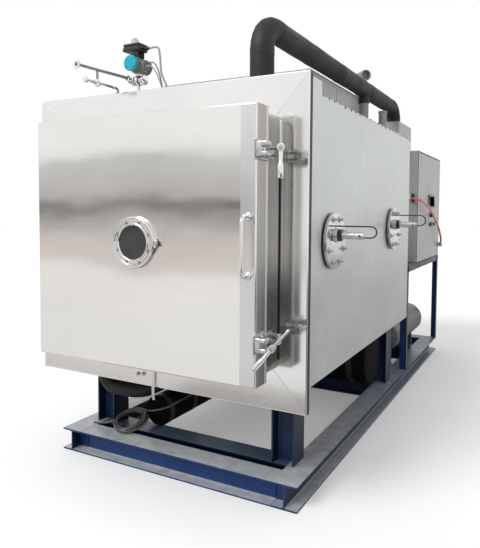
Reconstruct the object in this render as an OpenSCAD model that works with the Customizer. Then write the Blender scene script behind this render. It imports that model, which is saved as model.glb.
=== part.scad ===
// Production freeze dryer: a box-shaped vacuum chamber with one big hinged door,
// clad in sheet steel and standing on a blue H-beam skid with its refrigeration,
// cold trap, receiver and control cabinet behind and below it.
// Depths d are measured behind the front face of the bezel. +Z is up, the door
// looks along -Y, and the origin is the middle of the skid's underside.

/* [Skid] */
// Length of the skid over its side beams
skid_l = 3952; // [3800:1:4800]
// Width of the skid over the beam flanges
skid_w = 1628; // [1500:1:2000]
// Height of the H-beams
beam_h = 136; // [100:1:200]
// Width of the H-beam flanges
beam_w = 148; // [120:1:180]
// Thickness of the H-beam flanges
flange_t = 10; // [6:1:16]
// Thickness of the H-beam webs
web_t = 7; // [5:1:12]
// Gap between the front beam and the second beam
front_gap = 57; // [20:1:120]
// Distance from the skid's front end to the mid beam
mid_beam_at = 1965; // [1700:1:2000]
// Length of the chamber legs between the skid and the chamber
leg_h = 532; // [450:1:650]
// Distance from the chamber's middle to the outer face of a front leg
leg_out = 706; // [600:1:780]
// Distance from the chamber's middle to the outer face of a rear leg
rear_leg_out = 760; // [600:1:800]

/* [Chamber] */
// Width of the chamber over its cladding
chamber_w = 1770; // [1700:1:2200]
// Height of the chamber from its underside to its roof
chamber_h = 1452; // [1430:1:1800]
// Depth of the chamber behind the bezel
chamber_d = 2190; // [2080:1:2400]
// Thickness of the cladding panels
clad_t = 12; // [6:1:20]
// Thickness of the floor tray
floor_t = 20; // [12:1:30]
// Depth of the deep collar behind the bezel
collar_d = 175; // [140:1:220]
// Wall of the collar
collar_wall = 60; // [40:1:80]
// Depth of the seam in the side cladding
seam_at = 835; // [600:1:1100]
// Inside width of the vessel
vessel_w = 1300; // [1260:1:1420]
// Inside height of the vessel
vessel_h = 1200; // [1160:1:1240]
// Wall of the vessel
vessel_wall = 10; // [6:1:16]
// Thickness of the vessel's stiffening frames
frame_t = 16; // [10:1:25]
// Number of stiffening frames
frame_n = 5; // [3:1:8]
// Number of heated shelves
shelf_n = 6; // [4:1:8]
// Width of a shelf
shelf_w = 1000; // [800:1:1080]
// Depth of a shelf
shelf_d = 1700; // [1200:1:1760]
// Thickness of a shelf
shelf_t = 22; // [15:1:30]

/* [Bezel and mouth] */
// Overhang of the bezel past the cladding on each side
bezel_over = 5; // [2:1:60]
// Height of the bezel above the roof
bezel_up = 85; // [70:1:120]
// Drop of the bezel below the chamber's underside
bezel_down = 123; // [80:1:160]
// Depth of the bezel's folded edge
bezel_edge = 38; // [20:1:60]
// Thickness of the bezel sheet
bezel_t = 4; // [2:1:6]
// Distance the bezel stands ahead of the skid
bezel_ahead = 77; // [40:1:120]
// Sideways offset of the door and mouth
mouth_x = 57; // [0:1:60]
// Width of the mouth opening
mouth_w = 1200; // [1100:1:1230]
// Height of the mouth opening
mouth_h = 1100; // [1000:1:1130]
// Corner radius of the mouth ring
ring_r = 80; // [50:1:120]
// Distance the mouth ring stands out of the bezel
ring_out = 137.7; // [110:0.1:160]

/* [Door] */
// Width of the door
door_w = 1380; // [1350:1:1480]
// Height of the door
door_h = 1300; // [1260:1:1340]
// Thickness of the door
door_t = 119; // [90:1:150]
// Thickness of the door's pressed skin
skin_t = 4; // [2:1:6]
// Thickness of the door's inner plate
liner_t = 20; // [12:1:30]
// Height of the gasket between door and ring
gasket_t = 8; // [5:1:12]
// Diameter of the viewport ring
port_d = 268; // [240:1:300]
// Diameter of the viewport glass
glass_d = 190; // [150:1:210]
// Distance of the pull handle from the door's right edge
pull_in = 42; // [30:1:80]
// Length of the pull handle
pull_l = 288; // [200:1:360]
// Diameter of the pull handle's bar
pull_dia = 18; // [14:1:25]

/* [Hinges and clamps] */
// Distance from the door's left edge to the hinge pin
pin_gap = 44; // [40:1:60]
// Diameter of the hinge pin
pin_d = 24; // [18:1:30]
// Running clearance round a pin
pin_play = 0.05; // [0.02:0.01:0.1]
// Distance of each hinge above or below the door's middle
hinge_at = 440; // [300:1:520]
// Distance of each clamp above or below the door's middle
clamp_at = 438; // [300:1:520]
// Distance from the door's right edge to a clamp's pin
lug_gap = 50; // [46:1:60]
// Diameter of a swing bolt's rod
rod_d = 16; // [12:1:18]
// Distance from the clamp's pin to the middle of its hub
hub_at = 185; // [184:1:200]
// Angle of the upper swing bolt, swung clear of its fork
upper_swing = 25.5; // [22:0.5:40]
// Angle of the lower swing bolt, swung clear of its fork
lower_swing = 16.5; // [16.5:0.5:40]
// Tilt of the lower T-bar from level
t_tilt = 50; // [50:1:90]

/* [Roof and pipes] */
// Diameter of the insulated suction pipe
pipe_d = 126; // [100:1:140]
// Distance of the insulated pipe from the chamber's middle
pipe_x = 585; // [400:1:600]
// Height of the insulated pipe's run above the roof
pipe_up = 370.5; // [370.5:0.5:450]
// Depth at which the insulated pipe turns down again
pipe_end = 2843; // [2830:1:2900]
// Width of the roof housing
top_box_w = 1120; // [900:1:1120]
// Height of the roof housing
top_box_h = 306; // [200:1:306]
// Depth of the roof housing
top_box_d = 1010; // [700:1:1010]
// Diameter of the cold trap
trap_d = 450; // [350:1:460]
// Length of the cold trap
trap_l = 1220; // [900:1:1400]
// Diameter of the long duct under the chamber
duct_d = 196; // [150:1:200]

/* [Side ports] */
// Diameter of a side port's flange
flange_d = 300; // [260:1:320]
// Height of the front side port above the chamber's underside
flange_up = 715; // [500:1:900]
// Height of the rear side port above the chamber's underside
rear_flange_up = 745; // [500:1:900]
// Depth of the front side port
flange_front = 345; // [330:1:500]
// Depth of the rear side port
flange_rear = 1625; // [1200:1:1900]

/* [Rear equipment] */
// Length of the control cabinet
cabinet_l = 1134; // [900:1:1140]
// Width of the control cabinet
cabinet_w = 450; // [420:1:460]
// Height of the control cabinet
cabinet_h = 1045; // [900:1:1050]
// Height of the cabinet stand
stand_h = 1055; // [800:1:1060]
// Length of the cabinet stand
stand_l = 1518; // [1500:1:1560]
// Width of the stand's angle iron
angle_w = 57; // [40:1:70]
// Radius of the receiver tank
tank_r = 150; // [120:1:155]
// Length of the receiver tank over its ends
tank_l = 1190; // [1000:1:1200]

/* [Hidden] */
$fn = 64;
tiny = 0.3;
// Shared places, with d measured behind the bezel's front face
front_y = -skid_l / 2 - bezel_ahead;
rear_d = bezel_ahead + skid_l;
side_x = skid_w / 2;
under_z = beam_h + leg_h;
roof_z = under_z + chamber_h;
half_w = chamber_w / 2;
inner_w = half_w - clad_t;
bezel_x = half_w + bezel_over;
bezel_z0 = under_z - bezel_down;
bezel_z1 = roof_z + bezel_up;
door_z = under_z + 708;
ring_w = door_w - 16;
ring_h = door_h - 16;
door_back = -ring_out - gasket_t - tiny;
door_front = door_back - door_t;
door_x0 = mouth_x - door_w / 2;
door_x1 = mouth_x + door_w / 2;
vessel_front = 40;
vessel_back = chamber_d - clad_t - frame_t;
ring_side = mouth_x + ring_w / 2;
// Hinges and clamps
pivot_x = door_x0 - pin_gap;
pivot_y = door_back + 40;
knuckle_r = 26;
cheek_t = 20;
knuckle_h = 68;
lug_x = door_x1 + lug_gap;
lug_y = door_back + 18;
lug_z = [door_z + clamp_at, door_z - clamp_at];
eye_h = 24;
eye_r = 15;
ear_t = 8;
clamp_pin_d = 12;
hub_r = 14;
hub_l = 30;
fork_z = 35;
fork_front = lug_y - 168;
fork_back = fork_front + 50;
fork_out = lug_gap + 15;
thick_arm = 135;
thin_arm = 115;
// Skid places
second_at = beam_w + front_gap;
bearer_at = [rear_d - 1432 - bezel_ahead, rear_d - 579 - bezel_ahead];
// Roof places
run_z = roof_z + pipe_up;
elbow_r = 126;
header_z = roof_z + 241;
// Side ports
ports = [[flange_front, under_z + flange_up], [flange_rear, under_z + rear_flange_up]];
neck_d = 160;
disc_t = 9;
face_x = half_w + 8 + 2 * disc_t;
sensor_up = 30;
// Trap
trap_z = under_z - 23 - trap_d / 2;
trap_at = 1800;
trap_x0 = -500;
duct_x = -300;
duct_z = beam_h + 2 + duct_d / 2;
drain_d = 94;
drain_x = -590;
drain_at = bezel_ahead + second_at - 12 - drain_d / 2;
// Stand and cabinet
stand_x0 = side_x - cabinet_w;
stand_d0 = rear_d + 12 - stand_l;
cabinet_d0 = rear_d + 12 - cabinet_l;
cover_t = 6;
tank_x = side_x - 224;
tank_z = beam_h + 280;
tank_d0 = rear_d - 1579;
// Controls on the cover, as [depth, height]
meter_at = [3535, 1636];
selector_at = [3515, 1500];
button_at = [[3500, 1405], [3700, 1405]];
// Free cable: coil and routes
cable_d = 14;
coil_at = [-417, 272];
coil_w = 234;
coil_l = 246;
coil_t = 30;
coil_tilt = 20;
lead_route = [[-312, 300, 203], [-285, 318, 215], [-250, 335, 232], [-222, 358, 255], [-203, 388, 277],
              [-200, 425, 285], [-201, 480, 287], [-203, 520, 287], [-203, 640, 287], [-203, 740, 288],
              [-200, 810, 305], [-192, 870, 355], [-187, 915, 430], [-185, 945, 510], [-185, 957, 580],
              [-185, 960, 640]];
tail_route = [[-515, 215, 168], [-545, 222, 160], [-590, 232, 148], [-640, 233, 144], [-690, 226, 144]];
hose_route = [[767, 2876.5, 1655], [768, 2850, 1655], [795, 2832, 1650], [838, 2855, 1640], [858, 2920, 1624],
              [862, 3036, 1600],
              [862, 3234, 1560], [862, 3394, 1505], [862, 3622, 1420], [860, 3805, 1330],
              [856, 3935, 1240], [842, 4000, 1180]];
air_routes = [[[-191.5, 140, 2372], [-150, 140, 2370], [-112, 140, 2326], [-84, 142, 2262], [-70, 144, 2215],
               [-70, 144, 2185.3]],
              [[-191.5, 158, 2394], [-146, 158, 2393], [-112, 158, 2344], [-88, 158, 2262], [-76, 158, 2215],
               [-76, 158, 2185.3]]];
switch_route = [[-166.5, 150, 2477], [-132, 150, 2478], [-104, 150, 2466], [-94, 152, 2400],
                [-90, 156, 2330], [-62, 162, 2262], [-46, 164, 2220], [-46, 164, 2185.3]];

// ---- helpers ----
module from_front() { translate([0, front_y, 0]) children(); }

module block(x, y, z) {
    translate([x[0], y[0], z[0]]) cube([x[1] - x[0], y[1] - y[0], z[1] - z[0]]);
}

module rod_x(d, l) { rotate([0, 90, 0]) cylinder(d = d, h = l); }

module rod_y(d, l) { rotate([-90, 0, 0]) cylinder(d = d, h = l); }

module round_rect(w, h, r) {
    square([w - 2 * r, h], center = true);
    square([w, h - 2 * r], center = true);
    for (x = [-1, 1]) {
        for (z = [-1, 1]) {
            translate([x * (w / 2 - r), z * (h / 2 - r)]) circle(r);
        }
    }
}

// A rounded plate standing across Y from d0 to d1
module upright_plate(w, h, r, d0, d1) {
    translate([mouth_x, d1, door_z]) rotate([90, 0, 0]) linear_extrude(d1 - d0) round_rect(w, h, r);
}

// Quarter bend of a pipe from +Z at the origin towards +Y
module bend(d, r, a = 90) {
    translate([0, r, 0]) rotate([0, 90, 0]) rotate([0, 0, 180])
        rotate_extrude(angle = a) translate([r, 0]) rotate([0, 0, -90]) circle(d = d);
}

module h_section() {
    translate([-beam_w / 2, 0]) square([beam_w, flange_t]);
    translate([-beam_w / 2, beam_h - flange_t]) square([beam_w, flange_t]);
    translate([-web_t / 2, 0]) square([web_t, beam_h]);
}

// A tube swept along a route, as one closed skin; no stretch of the route runs along across
function unit(v) = v / norm(v);
function route_dir(p, i) = unit(p[min(i + 1, len(p) - 1)] - p[max(i - 1, 0)]);
function ring_point(p, i, r, a, across) =
    let (t = route_dir(p, i), u = unit(cross(t, across)), v = cross(u, t))
    p[i] + r * (cos(a) * u + sin(a) * v);

module swept(p, d, across, sides = 8) {
    n = len(p);
    ends = [[for (k = [0:sides - 1]) k], [for (k = [sides - 1:-1:0]) (n - 1) * sides + k]];
    walls = [for (i = [0:n - 2]) for (k = [0:sides - 1])
        [i * sides + k, (i + 1) * sides + k, (i + 1) * sides + (k + 1) % sides, i * sides + (k + 1) % sides]];
    polyhedron([for (i = [0:n - 1]) for (k = [0:sides - 1]) ring_point(p, i, d / 2, -k * 360 / sides, across)],
        concat(ends, walls), convexity = 6);
}

// ---- skid and legs ----
module beam_colour() { color([0.12, 0.25, 0.38]) children(); }

module side_beam(x) {
    translate([x, skid_l / 2, 0]) rotate([90, 0, 0]) linear_extrude(skid_l) h_section();
}

// A cross beam whose web runs between the flanges of the side beams
module cross_beam(at) {
    flange_l = skid_w - 2 * beam_w;
    web_l = skid_w - beam_w - web_t;
    translate([0, -skid_l / 2 + at, 0]) {
        for (z = [0, beam_h - flange_t]) {
            block([-flange_l / 2, flange_l / 2], [0, beam_w], [z, z + flange_t]);
        }
        block([-web_l / 2, web_l / 2], [(beam_w - web_t) / 2, (beam_w + web_t) / 2],
            [flange_t, beam_h - flange_t]);
    }
}

// A leg of the same beam, standing on a cross beam
module leg(side, at, out) {
    foot = [beam_h + 14, beam_w];
    x = side * (out - beam_h / 2);
    translate([x, -skid_l / 2 + at + beam_w / 2, beam_h]) {
        translate([-foot[0] / 2, -foot[1] / 2, 0]) cube([foot[0], foot[1], 12]);
        linear_extrude(leg_h) translate([beam_h / 2, 0]) rotate(90) h_section();
        translate([-foot[0] / 2, -foot[1] / 2, leg_h - 12]) cube([foot[0], foot[1], 12]);
    }
}

module skid_side_beam_left() { beam_colour() side_beam(-side_x + beam_w / 2); }
module skid_side_beam_right() { beam_colour() side_beam(side_x - beam_w / 2); }
module skid_front_beams() {
    beam_colour() {
        cross_beam(0);
        cross_beam(second_at);
    }
}
module skid_mid_beam() { beam_colour() cross_beam(mid_beam_at); }
module skid_bearers() {
    beam_colour() {
        for (at = bearer_at) {
            cross_beam(at - beam_w / 2);
        }
    }
}
module skid_rear_beam() { beam_colour() cross_beam(skid_l - beam_w); }
module front_legs() {
    beam_colour() {
        leg(-1, second_at, leg_out);
        leg(1, second_at, leg_out);
    }
}
module rear_legs() {
    beam_colour() {
        leg(-1, mid_beam_at, rear_leg_out);
        leg(1, mid_beam_at, rear_leg_out);
    }
}

// ---- chamber ----
module port_bore(d, x0, x1) {
    for (port = ports) {
        translate([x0, port[0], port[1]]) rod_x(d, x1 - x0);
    }
}

module vapour_bore(d, z0, z1) {
    translate([150, trap_at, z0]) cylinder(d = d, h = z1 - z0);
}

module chamber_vessel() {
    w = vessel_w / 2;
    h = vessel_h / 2;
    t = vessel_wall;
    gap = (vessel_back - collar_d) / (frame_n - 1);
    color([0.75, 0.77, 0.78]) from_front() difference() {
        union() {
            block([mouth_x - w - t, mouth_x + w + t], [vessel_front, vessel_back + frame_t],
                [door_z - h - t, door_z + h + t]);
            for (i = [0:frame_n - 1]) {
                block([-inner_w, inner_w], [collar_d + i * gap, collar_d + i * gap + frame_t],
                    [under_z + floor_t, roof_z - clad_t]);
            }
        }
        block([mouth_x - w, mouth_x + w], [vessel_front + 20, vessel_back], [door_z - h, door_z + h]);
        upright_plate(mouth_w, mouth_h, 60, vessel_front - 1, vessel_front + 21);
        port_bore(neck_d - 20, mouth_x + w - 1, half_w);
        port_bore(neck_d + 1, mouth_x + w + t, half_w);
        vapour_bore(220, door_z - h - t - 1, door_z - h + 1);
        vapour_bore(242, under_z, door_z - h - t);
    }
}

module mouth_ring() {
    color([0.86, 0.86, 0.85]) from_front() difference() {
        upright_plate(ring_w, ring_h, ring_r, -ring_out, vessel_front);
        upright_plate(mouth_w, mouth_h, 60, -ring_out - 1, vessel_front + 1);
    }
}

// One mitred strip of the bezel: outer edge between two corners, inner edge between two more
module bezel_strip(corners) {
    difference() {
        translate([0, bezel_t, 0]) rotate([90, 0, 0]) linear_extrude(bezel_t) polygon(corners);
        upright_plate(ring_w + 2 * tiny, ring_h + 2 * tiny, ring_r, -1, bezel_t + 1);
    }
}

module bezel() {
    x = [-bezel_x, bezel_x];
    z = [bezel_z0, bezel_z1];
    i = [mouth_x - ring_w / 2 + ring_r, mouth_x + ring_w / 2 - ring_r];
    j = [door_z - ring_h / 2 + ring_r, door_z + ring_h / 2 - ring_r];
    color([0.91, 0.90, 0.90]) from_front() {
        bezel_strip([[x[0], z[1]], [x[1], z[1]], [i[1], j[1]], [i[0], j[1]]]);
        bezel_strip([[x[0], z[0]], [x[1], z[0]], [i[1], j[0]], [i[0], j[0]]]);
        bezel_strip([[x[0], z[0]], [x[0], z[1]], [i[0], j[1]], [i[0], j[0]]]);
        bezel_strip([[x[1], z[0]], [x[1], z[1]], [i[1], j[1]], [i[1], j[0]]]);
        for (k = [0, 1]) {
            s = k == 0 ? 1 : -1;
            block([x[0], x[1]], [bezel_t, bezel_edge], [z[k] + min(0, s * bezel_t), z[k] + max(0, s * bezel_t)]);
            block([x[k] + min(0, s * bezel_t), x[k] + max(0, s * bezel_t)], [bezel_t, bezel_edge],
                [z[0] + bezel_t, z[1] - bezel_t]);
        }
    }
}

module front_collar() {
    z = [under_z, bezel_z1 - 20];
    w = collar_wall;
    x = min(half_w, bezel_x - bezel_t);
    color([0.79, 0.80, 0.79]) from_front() {
        for (k = [0, 1]) {
            side = 2 * k - 1;
            difference() {
                block([side > 0 ? x - w : -x, side > 0 ? x : w - x], [bezel_t, collar_d], [z[0], z[1]]);
                port_bore(neck_d + 1, 0, half_w + 1);
            }
        }
        block([w - x, x - w], [bezel_t, collar_d], [z[0], under_z + floor_t]);
        block([w - x, x - w], [bezel_t, collar_d], [z[1] - w, z[1]]);
    }
}

module side_panels_left() {
    color([0.75, 0.78, 0.75]) from_front() {
        block([-half_w, -inner_w], [collar_d, seam_at], [under_z, roof_z]);
        block([-half_w, -inner_w], [seam_at, chamber_d], [under_z, roof_z]);
    }
}

module side_panels_right() {
    color([0.75, 0.78, 0.75]) from_front() difference() {
        union() {
            block([inner_w, half_w], [collar_d, seam_at - 1], [under_z, roof_z]);
            block([inner_w, half_w], [seam_at, chamber_d], [under_z, roof_z]);
        }
        port_bore(neck_d + 1, inner_w - 1, half_w + 1);
    }
}

module roof_panel() {
    color([0.66, 0.67, 0.66]) from_front()
        block([-inner_w, inner_w], [collar_d, chamber_d], [roof_z - clad_t, roof_z]);
}

module rear_panel() {
    color([0.75, 0.77, 0.75]) from_front()
        block([-inner_w, inner_w], [chamber_d - clad_t, chamber_d], [under_z + floor_t, roof_z - clad_t]);
}

module floor_tray() {
    color([0.08, 0.08, 0.09]) from_front() difference() {
        block([-inner_w, inner_w], [collar_d, chamber_d], [under_z, under_z + floor_t]);
        vapour_bore(242, under_z - 1, under_z + floor_t + 1);
    }
}

// Uprights and rails that carry the shelves inside the vessel
rack_post = 40;
rack_foot = door_z - vessel_h / 2;
shelf_d0 = vessel_front + 120;
shelf_step = (vessel_h - 240) / (shelf_n - 1);
function shelf_z(i) = rack_foot + 130 + i * shelf_step;

module shelf_rack() {
    post_x = shelf_w / 2 + 2;
    color([0.72, 0.73, 0.74]) from_front() {
        for (side = [-1, 1]) {
            for (at = [shelf_d0 + 60, shelf_d0 + shelf_d / 2, shelf_d0 + shelf_d - 100]) {
                translate([mouth_x + side * (post_x + rack_post / 2) - rack_post / 2, at, rack_foot])
                    cube([rack_post, rack_post, vessel_h - 90]);
            }
            for (i = [0:shelf_n - 1]) {
                x0 = mouth_x + side * (post_x - 15) - 15;
                block([x0, x0 + 30], [shelf_d0 + 60, shelf_d0 + shelf_d - 60],
                    [shelf_z(i) - 12, shelf_z(i)]);
            }
        }
    }
}

module shelves() {
    color([0.80, 0.81, 0.82]) from_front() {
        for (i = [0:shelf_n - 1]) {
            block([mouth_x - shelf_w / 2, mouth_x + shelf_w / 2], [shelf_d0, shelf_d0 + shelf_d],
                [shelf_z(i), shelf_z(i) + shelf_t]);
        }
    }
}

// ---- door ----
port_x = mouth_x;
tube_d = glass_d + 20;

module port_hole(d, y0, y1) {
    translate([port_x, y0, door_z]) rod_y(d, y1 - y0);
}

module door_skin() {
    color([0.90, 0.89, 0.87]) from_front() difference() {
        block([door_x0, door_x1], [door_front, door_back], [door_z - door_h / 2, door_z + door_h / 2]);
        block([door_x0 + skin_t, door_x1 - skin_t], [door_front + skin_t, door_back + 1],
            [door_z - door_h / 2 + skin_t, door_z + door_h / 2 - skin_t]);
        port_hole(tube_d + 1, door_front - 1, door_back);
    }
}

module door_liner() {
    fit = skin_t + tiny;
    color([0.83, 0.83, 0.82]) from_front() difference() {
        union() {
            block([door_x0 + fit, door_x1 - fit], [door_back - liner_t, door_back],
                [door_z - door_h / 2 + fit, door_z + door_h / 2 - fit]);
            for (x = [-0.3, 0.3]) {
                block([mouth_x + x * door_w - 6, mouth_x + x * door_w + 6],
                    [door_front + skin_t, door_back - liner_t],
                    [door_z - door_h / 2 + 60, door_z + door_h / 2 - 60]);
            }
        }
        port_hole(tube_d + 1, door_back - liner_t - 1, door_back + 1);
    }
}

module door_gasket() {
    color([0.07, 0.07, 0.08]) from_front() difference() {
        upright_plate(mouth_w + 90, mouth_h + 90, 90, door_back, door_back + gasket_t);
        upright_plate(mouth_w + 40, mouth_h + 40, 70, door_back - 1, door_back + gasket_t + 1);
    }
}

module viewport_ring() {
    color([0.83, 0.83, 0.84]) from_front() translate([port_x, door_front, door_z]) rotate([90, 0, 0])
        rotate_extrude() polygon([
            [glass_d / 2, -door_t], [tube_d / 2, -door_t], [tube_d / 2, 0], [port_d / 2, 0],
            [port_d / 2, 20], [port_d / 2 - 5, 25], [glass_d / 2 - 8, 25], [glass_d / 2 - 8, 16],
            [glass_d / 2, 16]]);
}

module viewport_glass() {
    color([0.12, 0.13, 0.14, 0.9]) from_front()
        port_hole(glass_d - 2 * tiny, door_front - 16, door_front + 3);
}

module pull_handle() {
    x = door_x1 - pull_in;
    out = 65;
    r = 30;
    z0 = door_z - 141;
    color([0.80, 0.80, 0.80]) from_front() translate([x, door_front, z0]) {
        for (k = [0, 1]) {
            translate([0, 0, k * pull_l]) mirror([0, 0, k]) {
                translate([0, -out + r, pull_dia / 2]) rod_y(pull_dia, out - r);
                translate([0, -out + r, pull_dia / 2]) rotate([90, 0, 0]) bend(pull_dia, r);
                translate([0, -6, pull_dia / 2]) rod_y(38, 6);
            }
        }
        translate([0, -out, pull_dia / 2 + r]) cylinder(d = pull_dia, h = pull_l - pull_dia - 2 * r);
    }
}

module clamp_forks() {
    color([0.78, 0.78, 0.79]) from_front() {
        for (z = lug_z) {
            difference() {
                union() {
                    block([door_x1, door_x1 + 8], [fork_back - 14, door_back - 20], [z - 45, z + 45]);
                    block([door_x1, door_x1 + fork_out], [fork_front, fork_back], [z - fork_z, z + fork_z]);
                }
                block([door_x1 + lug_gap - rod_d / 2 - 2, door_x1 + fork_out + 1],
                    [fork_front - 1, fork_back + 1], [z - rod_d / 2 - 2, z + rod_d / 2 + 2]);
                block([door_x1 - 1, door_x1 + tiny / 3], [fork_front - 1, door_front], [z - 46, z + 46]);
            }
        }
    }
}

hinge_z = [door_z + hinge_at, door_z - hinge_at];

module hinge_arms() {
    color([0.78, 0.78, 0.79]) from_front() {
        for (z = hinge_z) {
            difference() {
                union() {
                    block([pivot_x - knuckle_r, pivot_x + knuckle_r], [door_back - 45, pivot_y],
                        [z - knuckle_h / 2, z + knuckle_h / 2]);
                    block([pivot_x, door_x0], [door_back - 60, door_back - 10],
                        [z - knuckle_h / 2, z + knuckle_h / 2]);
                    translate([pivot_x, pivot_y, z - knuckle_h / 2]) cylinder(r = knuckle_r, h = knuckle_h);
                    block([door_x0 - 10, door_x0], [door_back - 105, door_back - 15], [z - 80, z + 80]);
                }
                translate([pivot_x, pivot_y, z - knuckle_h]) cylinder(d = pin_d + 2 * pin_play, h = 2 * knuckle_h);
            }
        }
    }
}

// ---- fixed hinge and clamp parts ----
module hinge_brackets() {
    color([0.76, 0.77, 0.78]) from_front() {
        for (z = hinge_z) {
            block([pivot_x - 55, pivot_x + 45], [-14, 0], [z - 95, z + 95]);
            for (side = [-1, 1]) {
                mid = z + side * (knuckle_h / 2 + 1 + cheek_t / 2);
                block([pivot_x - knuckle_r, pivot_x + knuckle_r], [pivot_y, -14],
                    [mid - cheek_t / 2, mid + cheek_t / 2]);
                translate([pivot_x, pivot_y, mid - cheek_t / 2]) cylinder(r = knuckle_r, h = cheek_t);
            }
            translate([pivot_x, pivot_y, z - knuckle_h / 2 - cheek_t - 9])
                cylinder(d = pin_d, h = knuckle_h + 2 * cheek_t + 18);
        }
    }
}

module clamp_lugs() {
    color([0.76, 0.77, 0.78]) from_front() {
        for (z = lug_z) {
            for (side = [-1, 1]) {
                mid = z + side * (eye_h / 2 + tiny + ear_t / 2);
                block([ring_side, lug_x], [lug_y - 10, lug_y + 40], [mid - ear_t / 2, mid + ear_t / 2]);
                translate([lug_x, lug_y, mid - ear_t / 2]) cylinder(r = 15, h = ear_t);
            }
            translate([lug_x, lug_y, z - eye_h / 2 - ear_t - 7])
                cylinder(d = clamp_pin_d, h = eye_h + 2 * ear_t + 14);
        }
    }
}

// A swing bolt lying along -Y from its eye
module swing_bolt() {
    difference() {
        union() {
            translate([0, 0, -eye_h / 2]) cylinder(r = eye_r, h = eye_h);
            translate([0, -hub_at - hub_l / 2 - 14, 0]) rod_y(rod_d, hub_at + hub_l / 2 + 14 - eye_r + 6);
        }
        translate([0, 0, -eye_h]) cylinder(d = clamp_pin_d + 2 * pin_play, h = 2 * eye_h);
    }
}

// The T-bar nut at the origin of a swing bolt, its thick arm along -X
module t_bar() {
    translate([0, -hub_at, 0]) difference() {
        union() {
            translate([0, -hub_l / 2, 0]) rod_y(2 * hub_r, hub_l);
            translate([-70, 0, 0]) rod_x(18, 62);
            translate([-thick_arm, 0, 0]) rod_x(25, 70);
            translate([8, 0, 0]) rod_x(12.5, thin_arm - 8);
        }
        translate([0, -hub_l, 0]) rod_y(rod_d + 2 * pin_play, 2 * hub_l);
    }
}

module at_clamp(z, swing) {
    color([0.70, 0.70, 0.71]) from_front() translate([lug_x, lug_y, z]) rotate([0, 0, swing]) children();
}

module upper_swing_bolt() { at_clamp(lug_z[0], upper_swing) swing_bolt(); }
module upper_t_bar() { at_clamp(lug_z[0], upper_swing) rotate([0, -90, 0]) t_bar(); }
module lower_swing_bolt() { at_clamp(lug_z[1], lower_swing) swing_bolt(); }
module lower_t_bar() { at_clamp(lug_z[1], lower_swing) rotate([0, -t_tilt, 0]) t_bar(); }

// ---- roof ----
module roof_housing() {
    w = top_box_w / 2;
    t = 4;
    color([0.66, 0.66, 0.66]) from_front() difference() {
        block([-w, w], [820, 820 + top_box_d], [roof_z, roof_z + top_box_h]);
        block([t - w, w - t], [820 + t, 820 + top_box_d - t], [roof_z - 1, roof_z + top_box_h - t]);
    }
}

module insulated_pipe() {
    riser_d = 103;
    foot = bezel_z1 - 20;
    branch_d = 1885;
    color([0.17, 0.17, 0.18]) from_front() translate([pipe_x, 0, 0]) {
        translate([0, riser_d, foot]) cylinder(d = pipe_d, h = run_z - elbow_r - foot);
        translate([0, riser_d, run_z - elbow_r]) bend(pipe_d, elbow_r);
        translate([0, riser_d + elbow_r, run_z]) rod_y(pipe_d, pipe_end - riser_d - 2 * elbow_r);
        translate([0, pipe_end, run_z - elbow_r]) mirror([0, 1, 0]) bend(pipe_d, elbow_r);
        translate([0, pipe_end, header_z]) cylinder(d = pipe_d, h = run_z - elbow_r - header_z);
        translate([0, branch_d, run_z - 110]) cylinder(d = 86, h = 110);
    }
}

module roof_pipes() {
    vent_r = 39;
    vent_x = pipe_x - pipe_d / 2 - vent_r - 5;
    vent_d = 2140;
    vent_top = roof_z + 525;
    color([0.60, 0.60, 0.60]) from_front() {
        translate([pipe_x, 1885, roof_z]) cylinder(d = 78, h = run_z - 110 - roof_z);
        translate([vent_x, vent_d, roof_z]) cylinder(r = vent_r, h = vent_top - roof_z);
        translate([vent_x, vent_d, vent_top]) rotate([0, 0, -135]) difference() {
            translate([0, -48, 0]) rod_y(88, 147);
            translate([0, 59, 0]) rod_y(71, 41);
        }
        translate([690, 2060, roof_z]) {
            cylinder(d = 62, h = 205);
            translate([0, 0, 205]) cylinder(d = 70, h = 14);
        }
    }
}

// ---- side ports ----
module port_flanges() {
    color([0.78, 0.78, 0.78]) from_front() {
        for (port = ports) {
            x0 = mouth_x + vessel_w / 2 + vessel_wall;
            translate([x0, port[0], port[1]]) difference() {
                union() {
                    rod_x(neck_d, face_x - disc_t - x0);
                    translate([half_w + 8 - x0, 0, 0]) rod_x(flange_d, 2 * disc_t);
                }
                translate([-1, 0, 0]) rod_x(neck_d - 20, face_x - disc_t - x0 + 1);
            }
            for (k = [0:7]) {
                translate([face_x, port[0], port[1]]) rotate([22.5 + 45 * k, 0, 0]) translate([0, 122, 0]) {
                    rod_x(24, 12);
                    rod_x(14, 24);
                }
            }
        }
    }
}

module port_sensors() {
    color([0.82, 0.82, 0.83]) from_front() {
        for (port = ports) {
            translate([face_x, port[0], port[1] + sensor_up]) {
                rod_x(76, 12);
                translate([12, 0, 0]) rod_x(64, 18);
                translate([30, 0, 0]) rod_x(40, 120);
            }
        }
    }
}

// Hairpin lead from the head of each sensor back into its body
module sensor_cables() {
    d = 8;
    start = 150;
    color([0.20, 0.20, 0.21]) from_front() {
        for (port = ports) {
            front = port == ports[0];
            low = front ? -10 : -5;
            r = front ? 29 : 36;
            reach = front ? 185 : 178;
            translate([face_x, port[0], port[1] + sensor_up + low]) {
                translate([start, 0, 0]) rod_x(d, reach - start);
                translate([reach, 0, r]) rotate([90, 0, 0]) rotate([0, 0, -90])
                    rotate_extrude(angle = 180) translate([r, 0]) circle(d = d, $fn = 24);
                translate([0, 0, 2 * r]) rod_x(d, reach);
            }
        }
    }
}

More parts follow.
